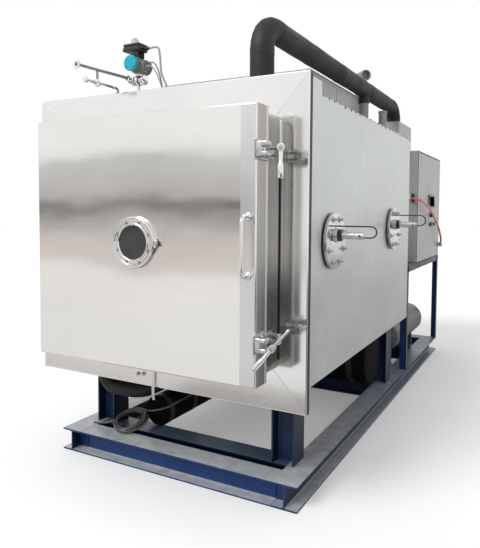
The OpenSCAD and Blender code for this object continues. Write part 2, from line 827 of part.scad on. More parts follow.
// ---- instruments on the roof's front left ----
inlet_x = -340;
inlet_z = roof_z + 195;
valve_x = -252;
valve_d = 150;
valve_z = roof_z + 266;
valve_body_z = inlet_z - 17;
tube_end = [valve_x - 60, valve_d - 24];
small_d = -112;
small_x = inlet_x + (small_d + 262) * (tube_end[0] - inlet_x) / (tube_end[1] + 262);
collar_top = bezel_z1 - 20;
knob_drop = 72;

module inlet_pipe() {
    small_z = inlet_z - knob_drop;
    run = norm([tube_end[0] - inlet_x, tube_end[1] + 262]);
    color([0.66, 0.66, 0.66]) from_front() {
        translate([inlet_x, -262, inlet_z]) rotate([0, 0, -atan2(tube_end[0] - inlet_x, tube_end[1] + 262)])
            difference() {
                union() {
                    rod_y(48, 14);
                    rod_y(17, run - 5);
                }
                translate([0, -1, 0]) rod_y(22, 11);
            }
        translate([small_x, small_d, inlet_z - 64]) cylinder(d = 14, h = 60);
        difference() {
            union() {
                translate([small_x, small_d, inlet_z - 92]) cylinder(d = 32, h = 40);
                translate([small_x, small_d - 44, small_z]) rod_y(20, 44);
            }
            translate([small_x, small_d - 45, small_z]) rod_y(8.6, 24);
        }
        translate([small_x, small_d, small_z]) rod_y(14, 60 - small_d);
        translate([small_x, 60, collar_top]) {
            translate([0, 0, small_z - collar_top]) sphere(d = 17);
            cylinder(d = 14, h = small_z - collar_top);
        }
        translate([tube_end[0], tube_end[1], inlet_z]) {
            sphere(d = 26);
            rod_x(17, 14);
        }
    }
}

module inlet_valve_knob() {
    color([0.72, 0.72, 0.72]) from_front() translate([small_x, small_d - 99, inlet_z - knob_drop]) {
        rod_y(8, 77);
        rod_y(36, 14);
        translate([0, 25, 0]) rod_y(16, 26);
    }
}

module steam_valve() {
    color([0.68, 0.68, 0.67]) from_front() translate([valve_x, valve_d, 0]) {
        translate([0, 0, collar_top]) {
            cylinder(d = 74, h = 10);
            cylinder(d = 34, h = 60);
        }
        translate([0, 0, valve_body_z]) {
            translate([-42, 0, 0]) rod_x(52, 84);
            translate([-8, 0, 0]) rod_x(62, 16);
            translate([-46, -24, 0]) rod_x(36, 6);
            translate([40, 0, 0]) rod_x(58, 10);
        }
        translate([0, 0, collar_top + 58]) cylinder(d = 22, h = valve_z - 58 - collar_top - 46);
    }
}

module valve_actuator() {
    color([0.55, 0.55, 0.56]) from_front() translate([valve_x, valve_d, valve_z]) {
        translate([0, -62, 0]) rod_y(86, 124);
        translate([-38, 0, -6]) rod_x(66, 98);
        translate([0, 0, -46]) cylinder(d = 54, h = 16);
    }
    color([0.12, 0.69, 0.77]) from_front() translate([valve_x, valve_d, valve_z]) {
        translate([0, -80, 0]) rod_y(90, 18);
        translate([0, 62, 0]) rod_y(90, 18);
    }
}

module switch_box() {
    color([0.13, 0.14, 0.16]) from_front() translate([valve_x, valve_d, valve_z]) {
        for (y = [-30, 30]) {
            translate([0, y, 43 + tiny]) cylinder(d = 18, h = 46 - tiny);
        }
        block([-81, 39], [-44, 44], [77, 123]);
        translate([-113, 0, 101]) rod_x(20, 34);
        translate([37, 0, 91]) rod_x(22, 48);
        translate([-23, 0, 123]) {
            cylinder(d = 46, h = 24);
            translate([0, 0, 24]) cylinder(d1 = 46, d2 = 20, h = 14);
        }
    }
}

module valve_hoses() {
    lift = [0, 0, roof_z - 2120];
    color([0.62, 0.62, 0.64]) from_front() {
        swept([for (p = switch_route) p + lift], 12, [0, 1, 0]);
        for (route = air_routes) {
            swept([for (p = route) p + lift], 8, [0, 1, 0]);
        }
    }
}

// ---- under the chamber ----
module cold_trap() {
    x1 = trap_x0 + trap_l;
    color([0.10, 0.10, 0.11]) from_front() {
        translate([trap_x0, trap_at, trap_z]) rod_x(trap_d, trap_l);
        difference() {
            vapour_bore(240, trap_z + trap_d / 2 - 80, door_z - vessel_h / 2 - vessel_wall);
            vapour_bore(220, trap_z + trap_d / 2 - 81, door_z - vessel_h / 2 - vessel_wall + 1);
        }
        for (x = [trap_x0 + 120, x1 - 140]) {
            block([x, x + 20], [trap_at - 120, trap_at + 120], [trap_z + trap_d / 2 - 60, under_z]);
        }
    }
}

module long_duct() {
    d0 = 400;
    d1 = trap_at - sqrt(pow(trap_d / 2, 2) - pow(duct_d / 2, 2)) + 20;
    color([0.09, 0.09, 0.10]) from_front() difference() {
        union() {
            translate([duct_x, d0, duct_z]) rod_y(duct_d, d1 - d0);
            translate([duct_x, d0 - 12, duct_z]) rod_y(duct_d - 20, 12);
        }
        translate([trap_x0, trap_at, trap_z]) rod_x(trap_d + 2 * tiny, trap_l);
    }
}

// Insulated drain line across the front under the collar, then back to the long duct
module drain_line() {
    d = drain_d;
    r = 100;
    z = under_z - 258;
    at = drain_at;
    x0 = drain_x;
    x1 = -300;
    color([0.10, 0.10, 0.11]) from_front() {
        translate([x0, at, z + r]) cylinder(d = d, h = under_z - z - r);
        translate([x0, at, z + r]) mirror([0, 0, 1]) rotate([0, 0, -90]) bend(d, r);
        translate([x0 + r, at, z]) rod_x(d, x1 - x0 - 2 * r);
        translate([x1 - r, at, z]) translate([0, r, 0]) rotate([0, 0, -90])
            rotate_extrude(angle = 90) translate([r, 0]) circle(d = d);
        translate([x1, at + r, z]) rod_y(d, 450);
        translate([x1, at + r + 450, z]) sphere(d = d);
        difference() {
            translate([x1, at + r + 450, duct_z]) cylinder(d = d, h = z - duct_z);
            translate([duct_x, at, duct_z]) rod_y(duct_d + 2 * tiny, 2 * duct_z + 600);
        }
    }
}

module receiver_tank() {
    dish = 70;
    n = 8;
    color([0.42, 0.41, 0.39]) from_front() {
        translate([tank_x, tank_d0, tank_z]) rotate([-90, 0, 0]) rotate_extrude() polygon(concat(
            [for (i = [0:n]) [tank_r * sin(90 * i / n), dish * (1 - cos(90 * i / n))]],
            [for (i = [n:-1:0]) [tank_r * sin(90 * i / n), tank_l - dish * (1 - cos(90 * i / n))]]));
        for (at = bearer_at) {
            y = at + bezel_ahead;
            difference() {
                block([tank_x - 120, tank_x + 76], [y - 8, y + 8], [beam_h, tank_z]);
                translate([tank_x, tank_d0 + dish, tank_z]) rod_y(2 * tank_r - 2, tank_l - 2 * dish);
            }
            block([tank_x - 120, tank_x + 76], [y - 50, y + 50], [beam_h, beam_h + 10]);
        }
    }
}

module refrigeration_housing() {
    x = [-side_x + 74, side_x - cabinet_w - 24];
    d = [rear_d - 1510, rear_d - 60];
    top = roof_z - 10;
    t = 4;
    x1 = x[1];
    color([0.70, 0.71, 0.70]) from_front() {
        difference() {
            block(x, d, [beam_h, top]);
            block([x[0] + t, x[1] - t], [d[0] + t, d[1] - t], [beam_h - 1, top - t]);
        }
        block([x1 - 600, pipe_x + 72], [pipe_end - 83, d[0] + 751], [roof_z - 10, header_z]);
    }
}

// ---- control cabinet ----
module angle_iron(l, a, t) {
    linear_extrude(l) {
        square([a, t]);
        square([t, a]);
    }
}

module cabinet_stand() {
    a = angle_w;
    t = 6;
    d1 = rear_d;
    top = beam_h;
    rail_z = stand_h - 55;
    color([0.13, 0.27, 0.40]) from_front() {
        translate([side_x, stand_d0, top]) mirror([1, 0, 0]) angle_iron(stand_h - top, a, t);
        translate([stand_x0, stand_d0, top]) angle_iron(stand_h - top, a, t);
        translate([side_x, d1, top]) mirror([1, 0, 0]) mirror([0, 1, 0]) angle_iron(stand_h - top, a, t);
        translate([stand_x0, d1, top]) mirror([0, 1, 0]) angle_iron(stand_h - top, a, t);
        for (x = [stand_x0, side_x - t]) {
            block([x, x + t], [stand_d0, rear_d + 12], [rail_z, stand_h]);
        }
        block([stand_x0, stand_x0 + a], [stand_d0, rear_d + 12], [stand_h - t, stand_h]);
        block([side_x - a, side_x], [stand_d0, rear_d + 12], [stand_h - t, stand_h]);
        for (y = [stand_d0, cabinet_d0 + 20, rear_d + 12 - t]) {
            block([stand_x0, side_x], [y, y + t], [rail_z, stand_h]);
        }
    }
}

module cabinet_body() {
    t = 4;
    x = [stand_x0, side_x - cover_t];
    z = [stand_h, stand_h + cabinet_h];
    d = [cabinet_d0, cabinet_d0 + cabinet_l];
    color([0.68, 0.68, 0.67]) from_front() {
        difference() {
            block(x, d, z);
            block([x[0] + t, x[1] + 1], [d[0] + t, d[1] - t], [z[0] + t, z[1] - t]);
        }
        block([x[1] - 52, x[1] - 30], [d[0] - 30, d[0]], [stand_h + 565, stand_h + 645]);
    }
}

// Place on the cover at a depth and height, looking along +X
module on_cover(p) {
    translate([side_x, p[0] + rear_d - 4029, p[1] + stand_h - 1055]) children();
}

module cabinet_cover() {
    color([0.70, 0.70, 0.69]) from_front() difference() {
        block([side_x - cover_t, side_x], [cabinet_d0, cabinet_d0 + cabinet_l], [stand_h, stand_h + cabinet_h]);
        for (p = concat([selector_at], button_at)) {
            on_cover(p) translate([-cover_t - 1, 0, 0]) rod_x(22.6, cover_t + 2);
        }
    }
}

module panel_meter() {
    color([0.30, 0.31, 0.32]) from_front() on_cover(meter_at) difference() {
        block([0, 14], [-140, 140], [-68, 68]);
        block([8, 15], [-110, 110], [-46, 46]);
    }
}

module selector_switch() {
    color([0.15, 0.15, 0.16]) from_front() on_cover(selector_at) {
        translate([-18, 0, 0]) rod_x(22, 22);
        translate([0.5, 0, 0]) rod_x(48, 9.5);
        translate([10, -6, -24]) cube([16, 12, 48]);
    }
}

module press_button() {
    translate([-20, 0, 0]) rod_x(22, 26);
    translate([6, 0, 0]) rod_x(44, 14);
}

module push_button_black() { color([0.10, 0.10, 0.10]) from_front() on_cover(button_at[0]) press_button(); }
module push_button_grey() { color([0.45, 0.45, 0.45]) from_front() on_cover(button_at[1]) press_button(); }

module red_hose() {
    shift = [0, rear_d - 4029, stand_h - 1055];
    route = [for (p = hose_route) p + shift + [side_x - 814, 0, 0]];
    color([0.86, 0.35, 0.35]) from_front() {
        swept(route, 22, [0, 0, 1]);
        end = route[len(route) - 1];
        block([side_x, end[0] + 14], [end[1] - 2, end[1] + 26], [end[2] - 30, end[2] + 14]);
    }
}

// ---- free cable ----
module cable_coil() {
    color([0.40, 0.38, 0.37]) from_front()
        translate([coil_at[0], coil_at[1] - coil_l / 2 * cos(coil_tilt), beam_h]) rotate([coil_tilt, 0, 0])
            translate([0, coil_l / 2, 0]) linear_extrude(coil_t) difference() {
                coil_outline(coil_w / 2);
                coil_outline(coil_w / 2 - 50);
            }
}

module coil_outline(r) {
    s = (coil_l - coil_w) / 2;
    square([2 * r, 2 * s], center = true);
    for (y = [-s, s]) {
        translate([0, y]) circle(r);
    }
}

module cable_ends() {
    color([0.42, 0.40, 0.39]) from_front() {
        swept(lead_route, cable_d, [0, -1, 1]);
        swept(tail_route, cable_d, [0, 0, 1]);
        gland = lead_route[len(lead_route) - 1];
        translate(gland) cylinder(d = 26, h = under_z - gland[2]);
    }
}

skid_side_beam_left();
skid_side_beam_right();
skid_front_beams();
skid_mid_beam();
skid_bearers();
skid_rear_beam();
front_legs();
rear_legs();
chamber_vessel();
mouth_ring();
bezel();
front_collar();
side_panels_left();
side_panels_right();
roof_panel();
rear_panel();
floor_tray();
shelf_rack();
shelves();
door_skin();
door_liner();
door_gasket();
viewport_ring();
viewport_glass();
pull_handle();
clamp_forks();
hinge_arms();
clamp_lugs();
hinge_brackets();
upper_swing_bolt();
upper_t_bar();
lower_swing_bolt();
lower_t_bar();
roof_housing();
insulated_pipe();
roof_pipes();
port_flanges();
port_sensors();
sensor_cables();
inlet_pipe();
inlet_valve_knob();
steam_valve();
valve_actuator();
switch_box();
valve_hoses();
cold_trap();
long_duct();
drain_line();
receiver_tank();
refrigeration_housing();
cabinet_stand();
cabinet_body();
cabinet_cover();
panel_meter();
selector_switch();
push_button_black();
push_button_grey();
red_hose();
cable_coil();
cable_ends();
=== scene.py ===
import bmesh
import bpy
import math
import random
from mathutils import Matrix, Vector


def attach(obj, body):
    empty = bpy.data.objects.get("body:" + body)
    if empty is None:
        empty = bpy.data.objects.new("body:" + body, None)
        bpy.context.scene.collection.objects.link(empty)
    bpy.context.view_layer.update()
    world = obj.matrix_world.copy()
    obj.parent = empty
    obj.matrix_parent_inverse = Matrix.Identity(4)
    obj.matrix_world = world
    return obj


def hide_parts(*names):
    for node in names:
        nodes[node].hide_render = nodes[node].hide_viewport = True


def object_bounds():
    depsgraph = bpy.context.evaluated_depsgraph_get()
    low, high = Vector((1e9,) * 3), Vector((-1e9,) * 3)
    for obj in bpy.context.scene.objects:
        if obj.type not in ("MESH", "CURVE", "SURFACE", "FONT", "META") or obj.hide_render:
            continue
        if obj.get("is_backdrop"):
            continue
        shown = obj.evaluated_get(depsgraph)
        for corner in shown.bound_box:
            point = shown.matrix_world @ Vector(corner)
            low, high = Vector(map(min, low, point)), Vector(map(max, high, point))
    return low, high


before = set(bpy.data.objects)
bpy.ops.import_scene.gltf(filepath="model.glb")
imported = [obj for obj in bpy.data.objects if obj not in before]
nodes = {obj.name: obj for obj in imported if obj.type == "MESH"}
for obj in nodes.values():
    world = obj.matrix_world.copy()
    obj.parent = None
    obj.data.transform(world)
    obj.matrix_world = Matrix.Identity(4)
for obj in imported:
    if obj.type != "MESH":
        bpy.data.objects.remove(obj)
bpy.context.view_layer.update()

DOOR_FACE = 2.053


def at(x, depth, z):
    """A place in metres from millimetres: across, behind the bezel's front face, and up."""
    return Vector((x / 1000, depth / 1000 - DOOR_FACE, z / 1000))


# Camera: it stands in front of the right-hand front corner at eye height, looks slightly down
# and leans a third of a degree.
swing = math.radians(28.72)
dip = math.radians(3.0)
lean = math.radians(0.33)
back = Vector((math.sin(swing) * math.cos(dip), -math.cos(swing) * math.cos(dip), math.sin(dip)))
level = Vector((math.cos(swing), math.sin(swing), 0))
upright = back.cross(level)
across = level * math.cos(lean) + upright * math.sin(lean)
camera_data = bpy.data.cameras.new("camera")
camera_data.lens = 37.25
camera_data.shift_y = -0.064
camera_data.clip_end = 100
camera = bpy.data.objects.new("camera", camera_data)
camera.matrix_world = Matrix.Translation((1.9025, -4.5791, 1.5471)) @ Matrix(
    (across, back.cross(across), back)).transposed().to_4x4()
bpy.context.scene.collection.objects.link(camera)
bpy.context.scene.camera = camera


# Power cable: a grey-brown rubber-sheathed lead, 14 mm thick. It leaves the chamber's underside
# through a gland, runs forward along the foam duct, and its spare length leans on the duct's end in
# a loose hank of six turns, with a bare free end over the side beam.
def new_material(name):
    """An empty node material and its Principled shader."""
    material = bpy.data.materials.new(name)
    material.use_nodes = True
    tree = material.node_tree
    shader = tree.nodes["Principled BSDF"]
    return material, tree, shader


def feed(tree, place, value):
    """Links an input to a socket, or sets it to a number, a colour or a vector."""
    if isinstance(value, bpy.types.NodeSocket):
        tree.links.new(value, place)
    else:
        place.default_value = (*value, 1) if place.type == "RGBA" and len(value) == 3 else value


def fill(tree, node, *firsts, **named):
    """Sets a shader node's properties, its first inputs, and the inputs that are named."""
    for name, value in named.items():
        if hasattr(node, name):
            setattr(node, name, value)
        else:
            feed(tree, node.inputs[name.replace("_", " ")], value)
    for place, value in zip(node.inputs, firsts):
        feed(tree, place, value)
    return node


def add_node(tree, kind, *firsts, **named):
    return fill(tree, tree.nodes.new(kind), *firsts, **named)


def stretched(tree, scale=(1, 1, 1)):
    """Object coordinates stretched by three factors, as a socket."""
    place = add_node(tree, "ShaderNodeTexCoord").outputs["Object"]
    return add_node(tree, "ShaderNodeMapping", Vector=place, Scale=scale).outputs["Vector"]


def noise(tree, size, detail=4.0, rough=0.55, scale=(1, 1, 1)):
    """Noise on object coordinates, as a socket from 0 to 1."""
    grain = add_node(tree, "ShaderNodeTexNoise", Vector=stretched(tree, scale), Scale=size,
                     Detail=detail, Roughness=rough)
    return grain.outputs["Fac"]


def ramp(tree, factor, *stops):
    """A colour ramp over a factor; each stop is (place, colour)."""
    node = add_node(tree, "ShaderNodeValToRGB", Fac=factor)
    for element, (place, colour) in zip(node.color_ramp.elements, stops):
        element.position = place
        element.color = (*colour, 1)
    return node.outputs["Color"]


def grey(value):
    return (value, value, value)


def greys(tree, factor, first, last, start=0.3, end=0.7):
    """A ramp from one grey value to another."""
    return ramp(tree, factor, (start, grey(first)), (end, grey(last)))


def blended(tree, factor, first, second, mode="MIX"):
    """Two colours, each a socket or three numbers, mixed by a socket or a number."""
    node = add_node(tree, "ShaderNodeMix", data_type="RGBA", blend_type=mode)
    for place, value in ((0, factor), (6, first), (7, second)):
        feed(tree, node.inputs[place], value)
    return node.outputs[2]


def bumps(tree, height, strength, distance, under=None):
    """The normal of a surface roughened by a height socket, over the bumps that lie under it."""
    node = add_node(tree, "ShaderNodeBump", Height=height, Strength=strength, Distance=distance)
    if under:
        feed(tree, node.inputs["Normal"], under)
    return node.outputs["Normal"]


def rubber(name, dark, light, rough=(0.45, 0.7), pitting=0.25, size=60):
    """A matt elastomer: uneven tone, a dusty bloom and a fine pitted skin."""
    material, tree, shader = new_material(name)
    cloud = noise(tree, size * 0.15, 5)
    fill(tree, shader, Base_Color=ramp(tree, cloud, (0.3, dark), (0.7, light)),
         Roughness=greys(tree, cloud, *rough),
         Normal=bumps(tree, noise(tree, size * 6, 3), pitting, 0.0006))
    return material


def smoothed(points, step):
    """Points about a step apart on the smooth curve through the given points."""
    ends = [points[0] * 2 - points[1]] + points + [points[-1] * 2 - points[-2]]
    line = []
    for before, start, end, after in zip(ends, ends[1:], ends[2:], ends[3:]):
        parts = max(1, round((end - start).length / step))
        for k in range(parts):
            t = k / parts
            line.append(0.5 * (2 * start + (end - before) * t
                               + (2 * before - 5 * start + 4 * end - after) * t ** 2
                               + (3 * start - before - 3 * end + after) * t ** 3))
    return line + [points[-1]]


def round_line(name, places, step, diameter, material, body, slot, *stands_for, sides=5):
    """A round cord through places in millimetres, as one open curve that rides on a body."""
    route = smoothed([at(*place) for place in places], step / 1000)
    data = bpy.data.curves.new(name, "CURVE")
    data.dimensions = "3D"
    data.bevel_depth = diameter / 2000
    data.bevel_resolution = sides
    data.use_fill_caps = True
    spline = data.splines.new("POLY")
    spline.points.add(len(route) - 1)
    for point, place in zip(spline.points, route):
        point.co = (*place, 1)
    spline.use_smooth = True
    data.materials.append(material)
    cord = bpy.data.objects.new(name, data)
    bpy.context.scene.collection.objects.link(cord)
    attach(cord, body)
    if stands_for:
        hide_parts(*stands_for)
    return cord


cable_d = 14
coil_x, coil_front = -417, 156.4
tilt = math.radians(20)
lead = [(-185, 960, 640), (-185, 957, 580), (-185, 945, 510), (-187, 915, 430), (-192, 870, 355),
        (-200, 810, 305), (-203, 740, 288), (-203, 640, 287), (-203, 520, 287), (-203, 460, 286),
        (-209, 417, 281), (-228, 384, 273), (-258, 367, 262), (-298, 363, 250), (-340, 368, 238)]
tail = [(-518, 322, 196), (-547, 276, 172), (-588, 246, 155), (-640, 234, 146), (-692, 228, 144)]
# Each turn is a loop in a plane that leans back on the duct's end. The turns lie close together
# at the left and fan out to the right: (fan, height over the plane) for each.
turns = []
loops = [(6, 22), (30, 22), (0, 8), (46, 9), (18, 8), (52, 23), (10, 22)]
turn_count, turn_steps = 6, 22
first_angle, last_angle = math.radians(78), math.radians(128)
sweep = turn_count * 2 * math.pi + last_angle - first_angle
for k in range(turn_count * turn_steps + 1):
    part = k / (turn_count * turn_steps)
    angle = first_angle + sweep * part
    row = min(int(part * turn_count), turn_count - 1)
    share = part * turn_count - row
    share = share * share * (3 - 2 * share)
    fan, lift = (a * (1 - share) + b * share for a, b in zip(loops[row], loops[row + 1]))
    inset = fan * (0.25 + 0.75 * (0.5 + 0.5 * math.cos(angle + 0.6)))
    length = 123 + (114 - inset) * math.sin(angle)
    turns.append((coil_x + (109 - inset) * math.cos(angle),
                  coil_front + length * math.cos(tilt) - lift * math.sin(tilt),
                  136 + length * math.sin(tilt) + lift * math.cos(tilt)))
sheath = rubber("grey cable sheath", (0.045, 0.042, 0.040), (0.13, 0.123, 0.117), (0.20, 0.32), 0.10)
cable = round_line("power_cable", lead + turns + tail, 8, cable_d, sheath, "frame", "cable_coil",
                   "cable_coil", "cable_ends")


# Studio: a pale floor and a white surround, lit by an even sky and one soft lamp from the front
# left. Cards that only polished metal shows stand in for the darker sides of the room.
scene = bpy.context.scene
scene.view_settings.view_transform = "Standard"
world = bpy.data.worlds.new("studio")
scene.world = world
world.use_nodes = True
tree = world.node_tree
sky = fill(tree, tree.nodes["Background"], Color=(1, 1, 1), Strength=0.62)
# Camera, mirror and clear rays see the surround at strength 1.
rays = add_node(tree, "ShaderNodeLightPath").outputs
shown = rays["Is Camera Ray"]
for name in ("Is Glossy Ray", "Is Transmission Ray"):
    shown = add_node(tree, "ShaderNodeMath", shown, rays[name], operation="MAXIMUM").outputs[0]
white = add_node(tree, "ShaderNodeBackground", Color=(1, 1, 1), Strength=1.0)
surround = add_node(tree, "ShaderNodeMixShader", shown, sky.outputs[0], white.outputs[0])
feed(tree, tree.nodes["World Output"].inputs["Surface"], surround.outputs[0])

lamp_data = bpy.data.lights.new("key lamp", "SUN")
lamp_data.energy = 1.6
lamp_data.angle = math.radians(25)
lamp = bpy.data.objects.new("key lamp", lamp_data)
lamp.rotation_euler = (math.radians(48), 0, math.radians(-24))
scene.collection.objects.link(lamp)


def flat_card(name, corners, material):
    """A flat four-sided sheet of the studio."""
    sheet = bmesh.new()
    sheet.faces.new([sheet.verts.new(corner) for corner in corners])
    mesh = bpy.data.meshes.new(name)
    sheet.to_mesh(mesh)
    sheet.free()
    mesh.materials.append(material)
    card = bpy.data.objects.new(name, mesh)
    scene.collection.objects.link(card)
    card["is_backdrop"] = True
    return card


floor_paint, tree, shader = new_material("pale floor")
path = add_node(tree, "ShaderNodeLightPath").outputs["Is Camera Ray"]
glow = add_node(tree, "ShaderNodeMath", path, 0.20, operation="MULTIPLY").outputs[0]
fill(tree, shader, Base_Color=greys(tree, noise(tree, 0.6), 0.90, 0.93), Roughness=0.9,
     Specular_IOR_Level=0.1, Emission_Color=(1, 1, 1), Emission_Strength=glow)
flat_card("floor", [(-30, -30, -0.0006), (30, -30, -0.0006), (30, 30, -0.0006), (-30, 30, -0.0006)],
          floor_paint)


def shade_card(name, tone, corners, tint):
    """A card that only shows in polished metal, as a darker side of the room does."""
    material = bpy.data.materials.new(name)
    material.use_nodes = True
    tree = material.node_tree
    tree.nodes.remove(tree.nodes["Principled BSDF"])
    glow = add_node(tree, "ShaderNodeEmission", Color=tint, Strength=tone)
    feed(tree, tree.nodes["Material Output"].inputs["Surface"], glow.outputs[0])
    card = flat_card(name, corners, material)
    card.visible_camera = card.visible_diffuse = card.visible_shadow = False
    card.visible_transmission = False


def wall(x0, x1, y, z0, z1):
    return [(x0, y, z0), (x1, y, z0), (x1, y, z1), (x0, y, z1)]


def lying(x0, x1, y0, y1):
    return [(x0, y0, 0.001), (x1, y0, 0.001), (x1, y1, 0.001), (x0, y1, 0.001)]


far, rear = -3.9, -12
for name, tone, corners, tint in (
        ("far top line", 0.50, wall(-45, far, rear, 2.78, 2.90), (1, 1, 1)),
        ("far upper wall", 0.62, wall(-45, far, rear, 2.30, 2.78), (1, 1, 1)),
        ("far wall", 0.58, wall(-45, far, rear, 1.64, 2.30), (1, 0.98, 0.96)),
        ("far dark band", 0.06, wall(-45, far, rear, 1.40, 1.64), (1, 0.86, 0.80)),
        ("far middle band", 0.46, wall(-45, far, rear, 0.94, 1.40), (1, 0.98, 0.96)),
        ("far low band", 0.70, wall(-45, far, rear, 0.05, 0.94), (1, 0.93, 0.89)),
        ("far floor", 0.92, lying(-45, far, -11.9, -7.2), (1, 0.98, 0.96)),
        ("near wall", 0.92, wall(far, 0.5, rear, 0.6, 8), (1, 1, 1)),
        ("near low wall", 0.66, wall(far, 0.5, rear, 0, 0.6), (1, 1, 1)),
        ("left front floor", 0.66, lying(-3.4, -0.9, -3.9, -2.4), (1, 0.97, 0.94)),
        ("near front floor", 0.40, lying(-0.9, 1.2, -3.9, -2.4), (1, 0.96, 0.93)),
        ("right wall high", 0.95, wall(0.5, 16, rear, 3.2, 8), (1, 1, 1)),
        ("right wall low", 0.95, wall(0.5, 16, rear, 0, 3.2), (1, 1, 1)),
        ("right front floor", 0.14, lying(1.2, 16, rear, -3.2), (1, 1, 1)),
        ("right rear floor", 0.50, lying(1.3, 8, -1.2, 14), (1, 1, 1))):
    shade_card(name, tone, corners, tint)


# Skid and legs: rolled steel H-beams with rounded roots. The cross beams butt against the side
# beams and are welded to them. All of it is sprayed deep blue, and dust greys the tops. The legs
# and the cross beams behind the front one take a darker copy of the blue as painted shade, and
# the faces that look across the machine are darker as painted shade.
def enamel(name, deep, pale, dust, dusty=0.75, speckle=0.3, side=None, chip=None, shadow_thinning=None):
    """Sprayed enamel on rolled steel: orange peel, speckle, and dust on the upper faces. A side
    colour is painted shade: it tints the faces that look across the machine darker, as shade on
    the webs. A chip colour tints the speckle. Shadow thinning is (start, end, share): the dust's
    grey thins to a share along Y, a painted shade where the chamber's shadow falls on the tops."""
    material, tree, shader = new_material(name)
    cloud = noise(tree, 3.0, 6, 0.6)
    chips = greys(tree, noise(tree, 90, 3), 0, speckle, 0.62, 0.72)
    paint = blended(tree, chips, ramp(tree, cloud, (0.25, deep), (0.75, pale)),
                    chip or tuple(0.5 * a + 0.16 for a in pale))
    facing = add_node(tree, "ShaderNodeNewGeometry").outputs["Normal"]
    facing = add_node(tree, "ShaderNodeSeparateXYZ", facing).outputs
    # Painted shade: faces that look across the machine take the darker side colour.
    if side:
        side_shade_mask = add_node(tree, "ShaderNodeMath", facing["X"], operation="ABSOLUTE").outputs[0]
        paint = blended(tree, greys(tree, side_shade_mask, 0, 0.9, 0.5, 0.9), paint, side)
    dust_drift_and_shade = greys(tree, noise(tree, 14, 5), 0.55, 1, 0.2)
    # Painted shade: the dust's grey thins along Y, darker where the chamber's shadow falls.
    if shadow_thinning:
        place = add_node(tree, "ShaderNodeTexCoord").outputs["Object"]
        place = add_node(tree, "ShaderNodeSeparateXYZ", place).outputs["Y"]
        chamber_shade = add_node(tree, "ShaderNodeMapRange", place, *shadow_thinning[:2], 1, shadow_thinning[2])
        dust_drift_and_shade = blended(tree, 1.0, dust_drift_and_shade, chamber_shade.outputs["Result"], "MULTIPLY")
    dust_and_painted_shade = blended(tree, 1.0, greys(tree, facing["Z"], 0, dusty, 0.55, 0.9), dust_drift_and_shade, "MULTIPLY")
    fill(tree, shader, Base_Color=blended(tree, dust_and_painted_shade, paint, dust),
         Roughness=greys(tree, cloud, 0.30, 0.48), Coat_Weight=0.1, Coat_Roughness=0.2,
         Specular_IOR_Level=0.3, Normal=bumps(tree, noise(tree, 220, 2), 0.12, 0.0005))
    return material


def eased(part, size, rows=2):
    """Rounds every edge of a solid that turns by more than 35 degrees."""
    if size:
        sharp = [edge for edge in part.edges
                 if len(edge.link_faces) == 2 and edge.calc_face_angle(0) > math.radians(35)]
        bmesh.ops.bevel(part, geom=sharp, offset=size, segments=rows, profile=0.5,
                        affect="EDGES", material=-1, clamp_overlap=True)


def added(shape, part, matrix=None, tint=0):
    """Moves a finished solid into a shape, with its material's number."""
    if matrix is not None:
        bmesh.ops.transform(part, matrix=matrix, verts=part.verts)
    for face in part.faces:
        face.material_index = tint
    mesh = bpy.data.meshes.new("part")
    part.to_mesh(mesh)
    part.free()
    shape.from_mesh(mesh)
    bpy.data.meshes.remove(mesh)


def slab(shape, x, depth, z, edge=1.0, matrix=None, tint=0, rows=2):
    """A block with rounded edges between three pairs of sides, in millimetres."""
    part = bmesh.new()
    size = [abs(b - a) for a, b in (x, depth, z)]
    centre = [(a + b) / 2 for a, b in (x, depth, z)]
    bmesh.ops.create_cube(part, size=1, matrix=Matrix.LocRotScale(Vector(centre), None, Vector(size)))
    eased(part, min(edge, min(size) * 0.3), rows)
    added(shape, part, matrix, tint)


RIGHT, LEFT, REAR, FRONT, UP = (1, 0, 0), (-1, 0, 0), (0, 1, 0), (0, -1, 0), (0, 0, 1)


def solid(*corners):
    """The profile of a solid turned part: its corners, joined to the axis at both ends."""
    return [(0, corners[0][1]), *corners, (0, corners[-1][1])]


def disc(radius, low, high):
    """The profile of a plain solid disc or bar."""
    return solid((radius, low), (radius, high))


def sleeve(inner, outer, low, high):
    """The profile of a plain ring."""
    return [(inner, low), (outer, low), (outer, high), (inner, high), (inner, low)]


def faced(centre, direction):
    """The place of a turned part: its own Z along a direction."""
    return (Matrix.Translation(Vector(centre))
            @ Vector(direction).to_track_quat("Z", "X").to_matrix().to_4x4())


def turned(shape, profile, centre, direction, edge=0.0, steps=40, tint=0, matrix=Matrix()):
    """A solid turned about the line through centre; profile holds (radius, distance along) pairs."""
    part = bmesh.new()
    corners = [part.verts.new((radius, 0, along)) for radius, along in profile]
    edges = [part.edges.new(pair) for pair in zip(corners, corners[1:])]
    bmesh.ops.spin(part, geom=corners + edges, cent=(0, 0, 0), axis=UP, dvec=(0, 0, 0),
                   angle=2 * math.pi, steps=steps, use_merge=True)
    bmesh.ops.remove_doubles(part, verts=part.verts, dist=0.001)
    bmesh.ops.recalc_face_normals(part, faces=part.faces)
    eased(part, edge)
    added(shape, part, matrix @ faced(centre, direction), tint)


def rod(shape, start, end, radius, edge=1.0, steps=32, tint=0):
    """A round bar between two points."""
    run = Vector(end) - Vector(start)
    turned(shape, disc(radius, 0, run.length), start, run, edge, steps, tint)


def screws(shape, spots, reach, radius=5, steps=12, tint=0, edge=0.8):
    """Low round screw heads that stand up from each spot by a reach."""
    for spot in spots:
        rod(shape, spot, Vector(spot) + Vector(reach), radius, edge, steps, tint)


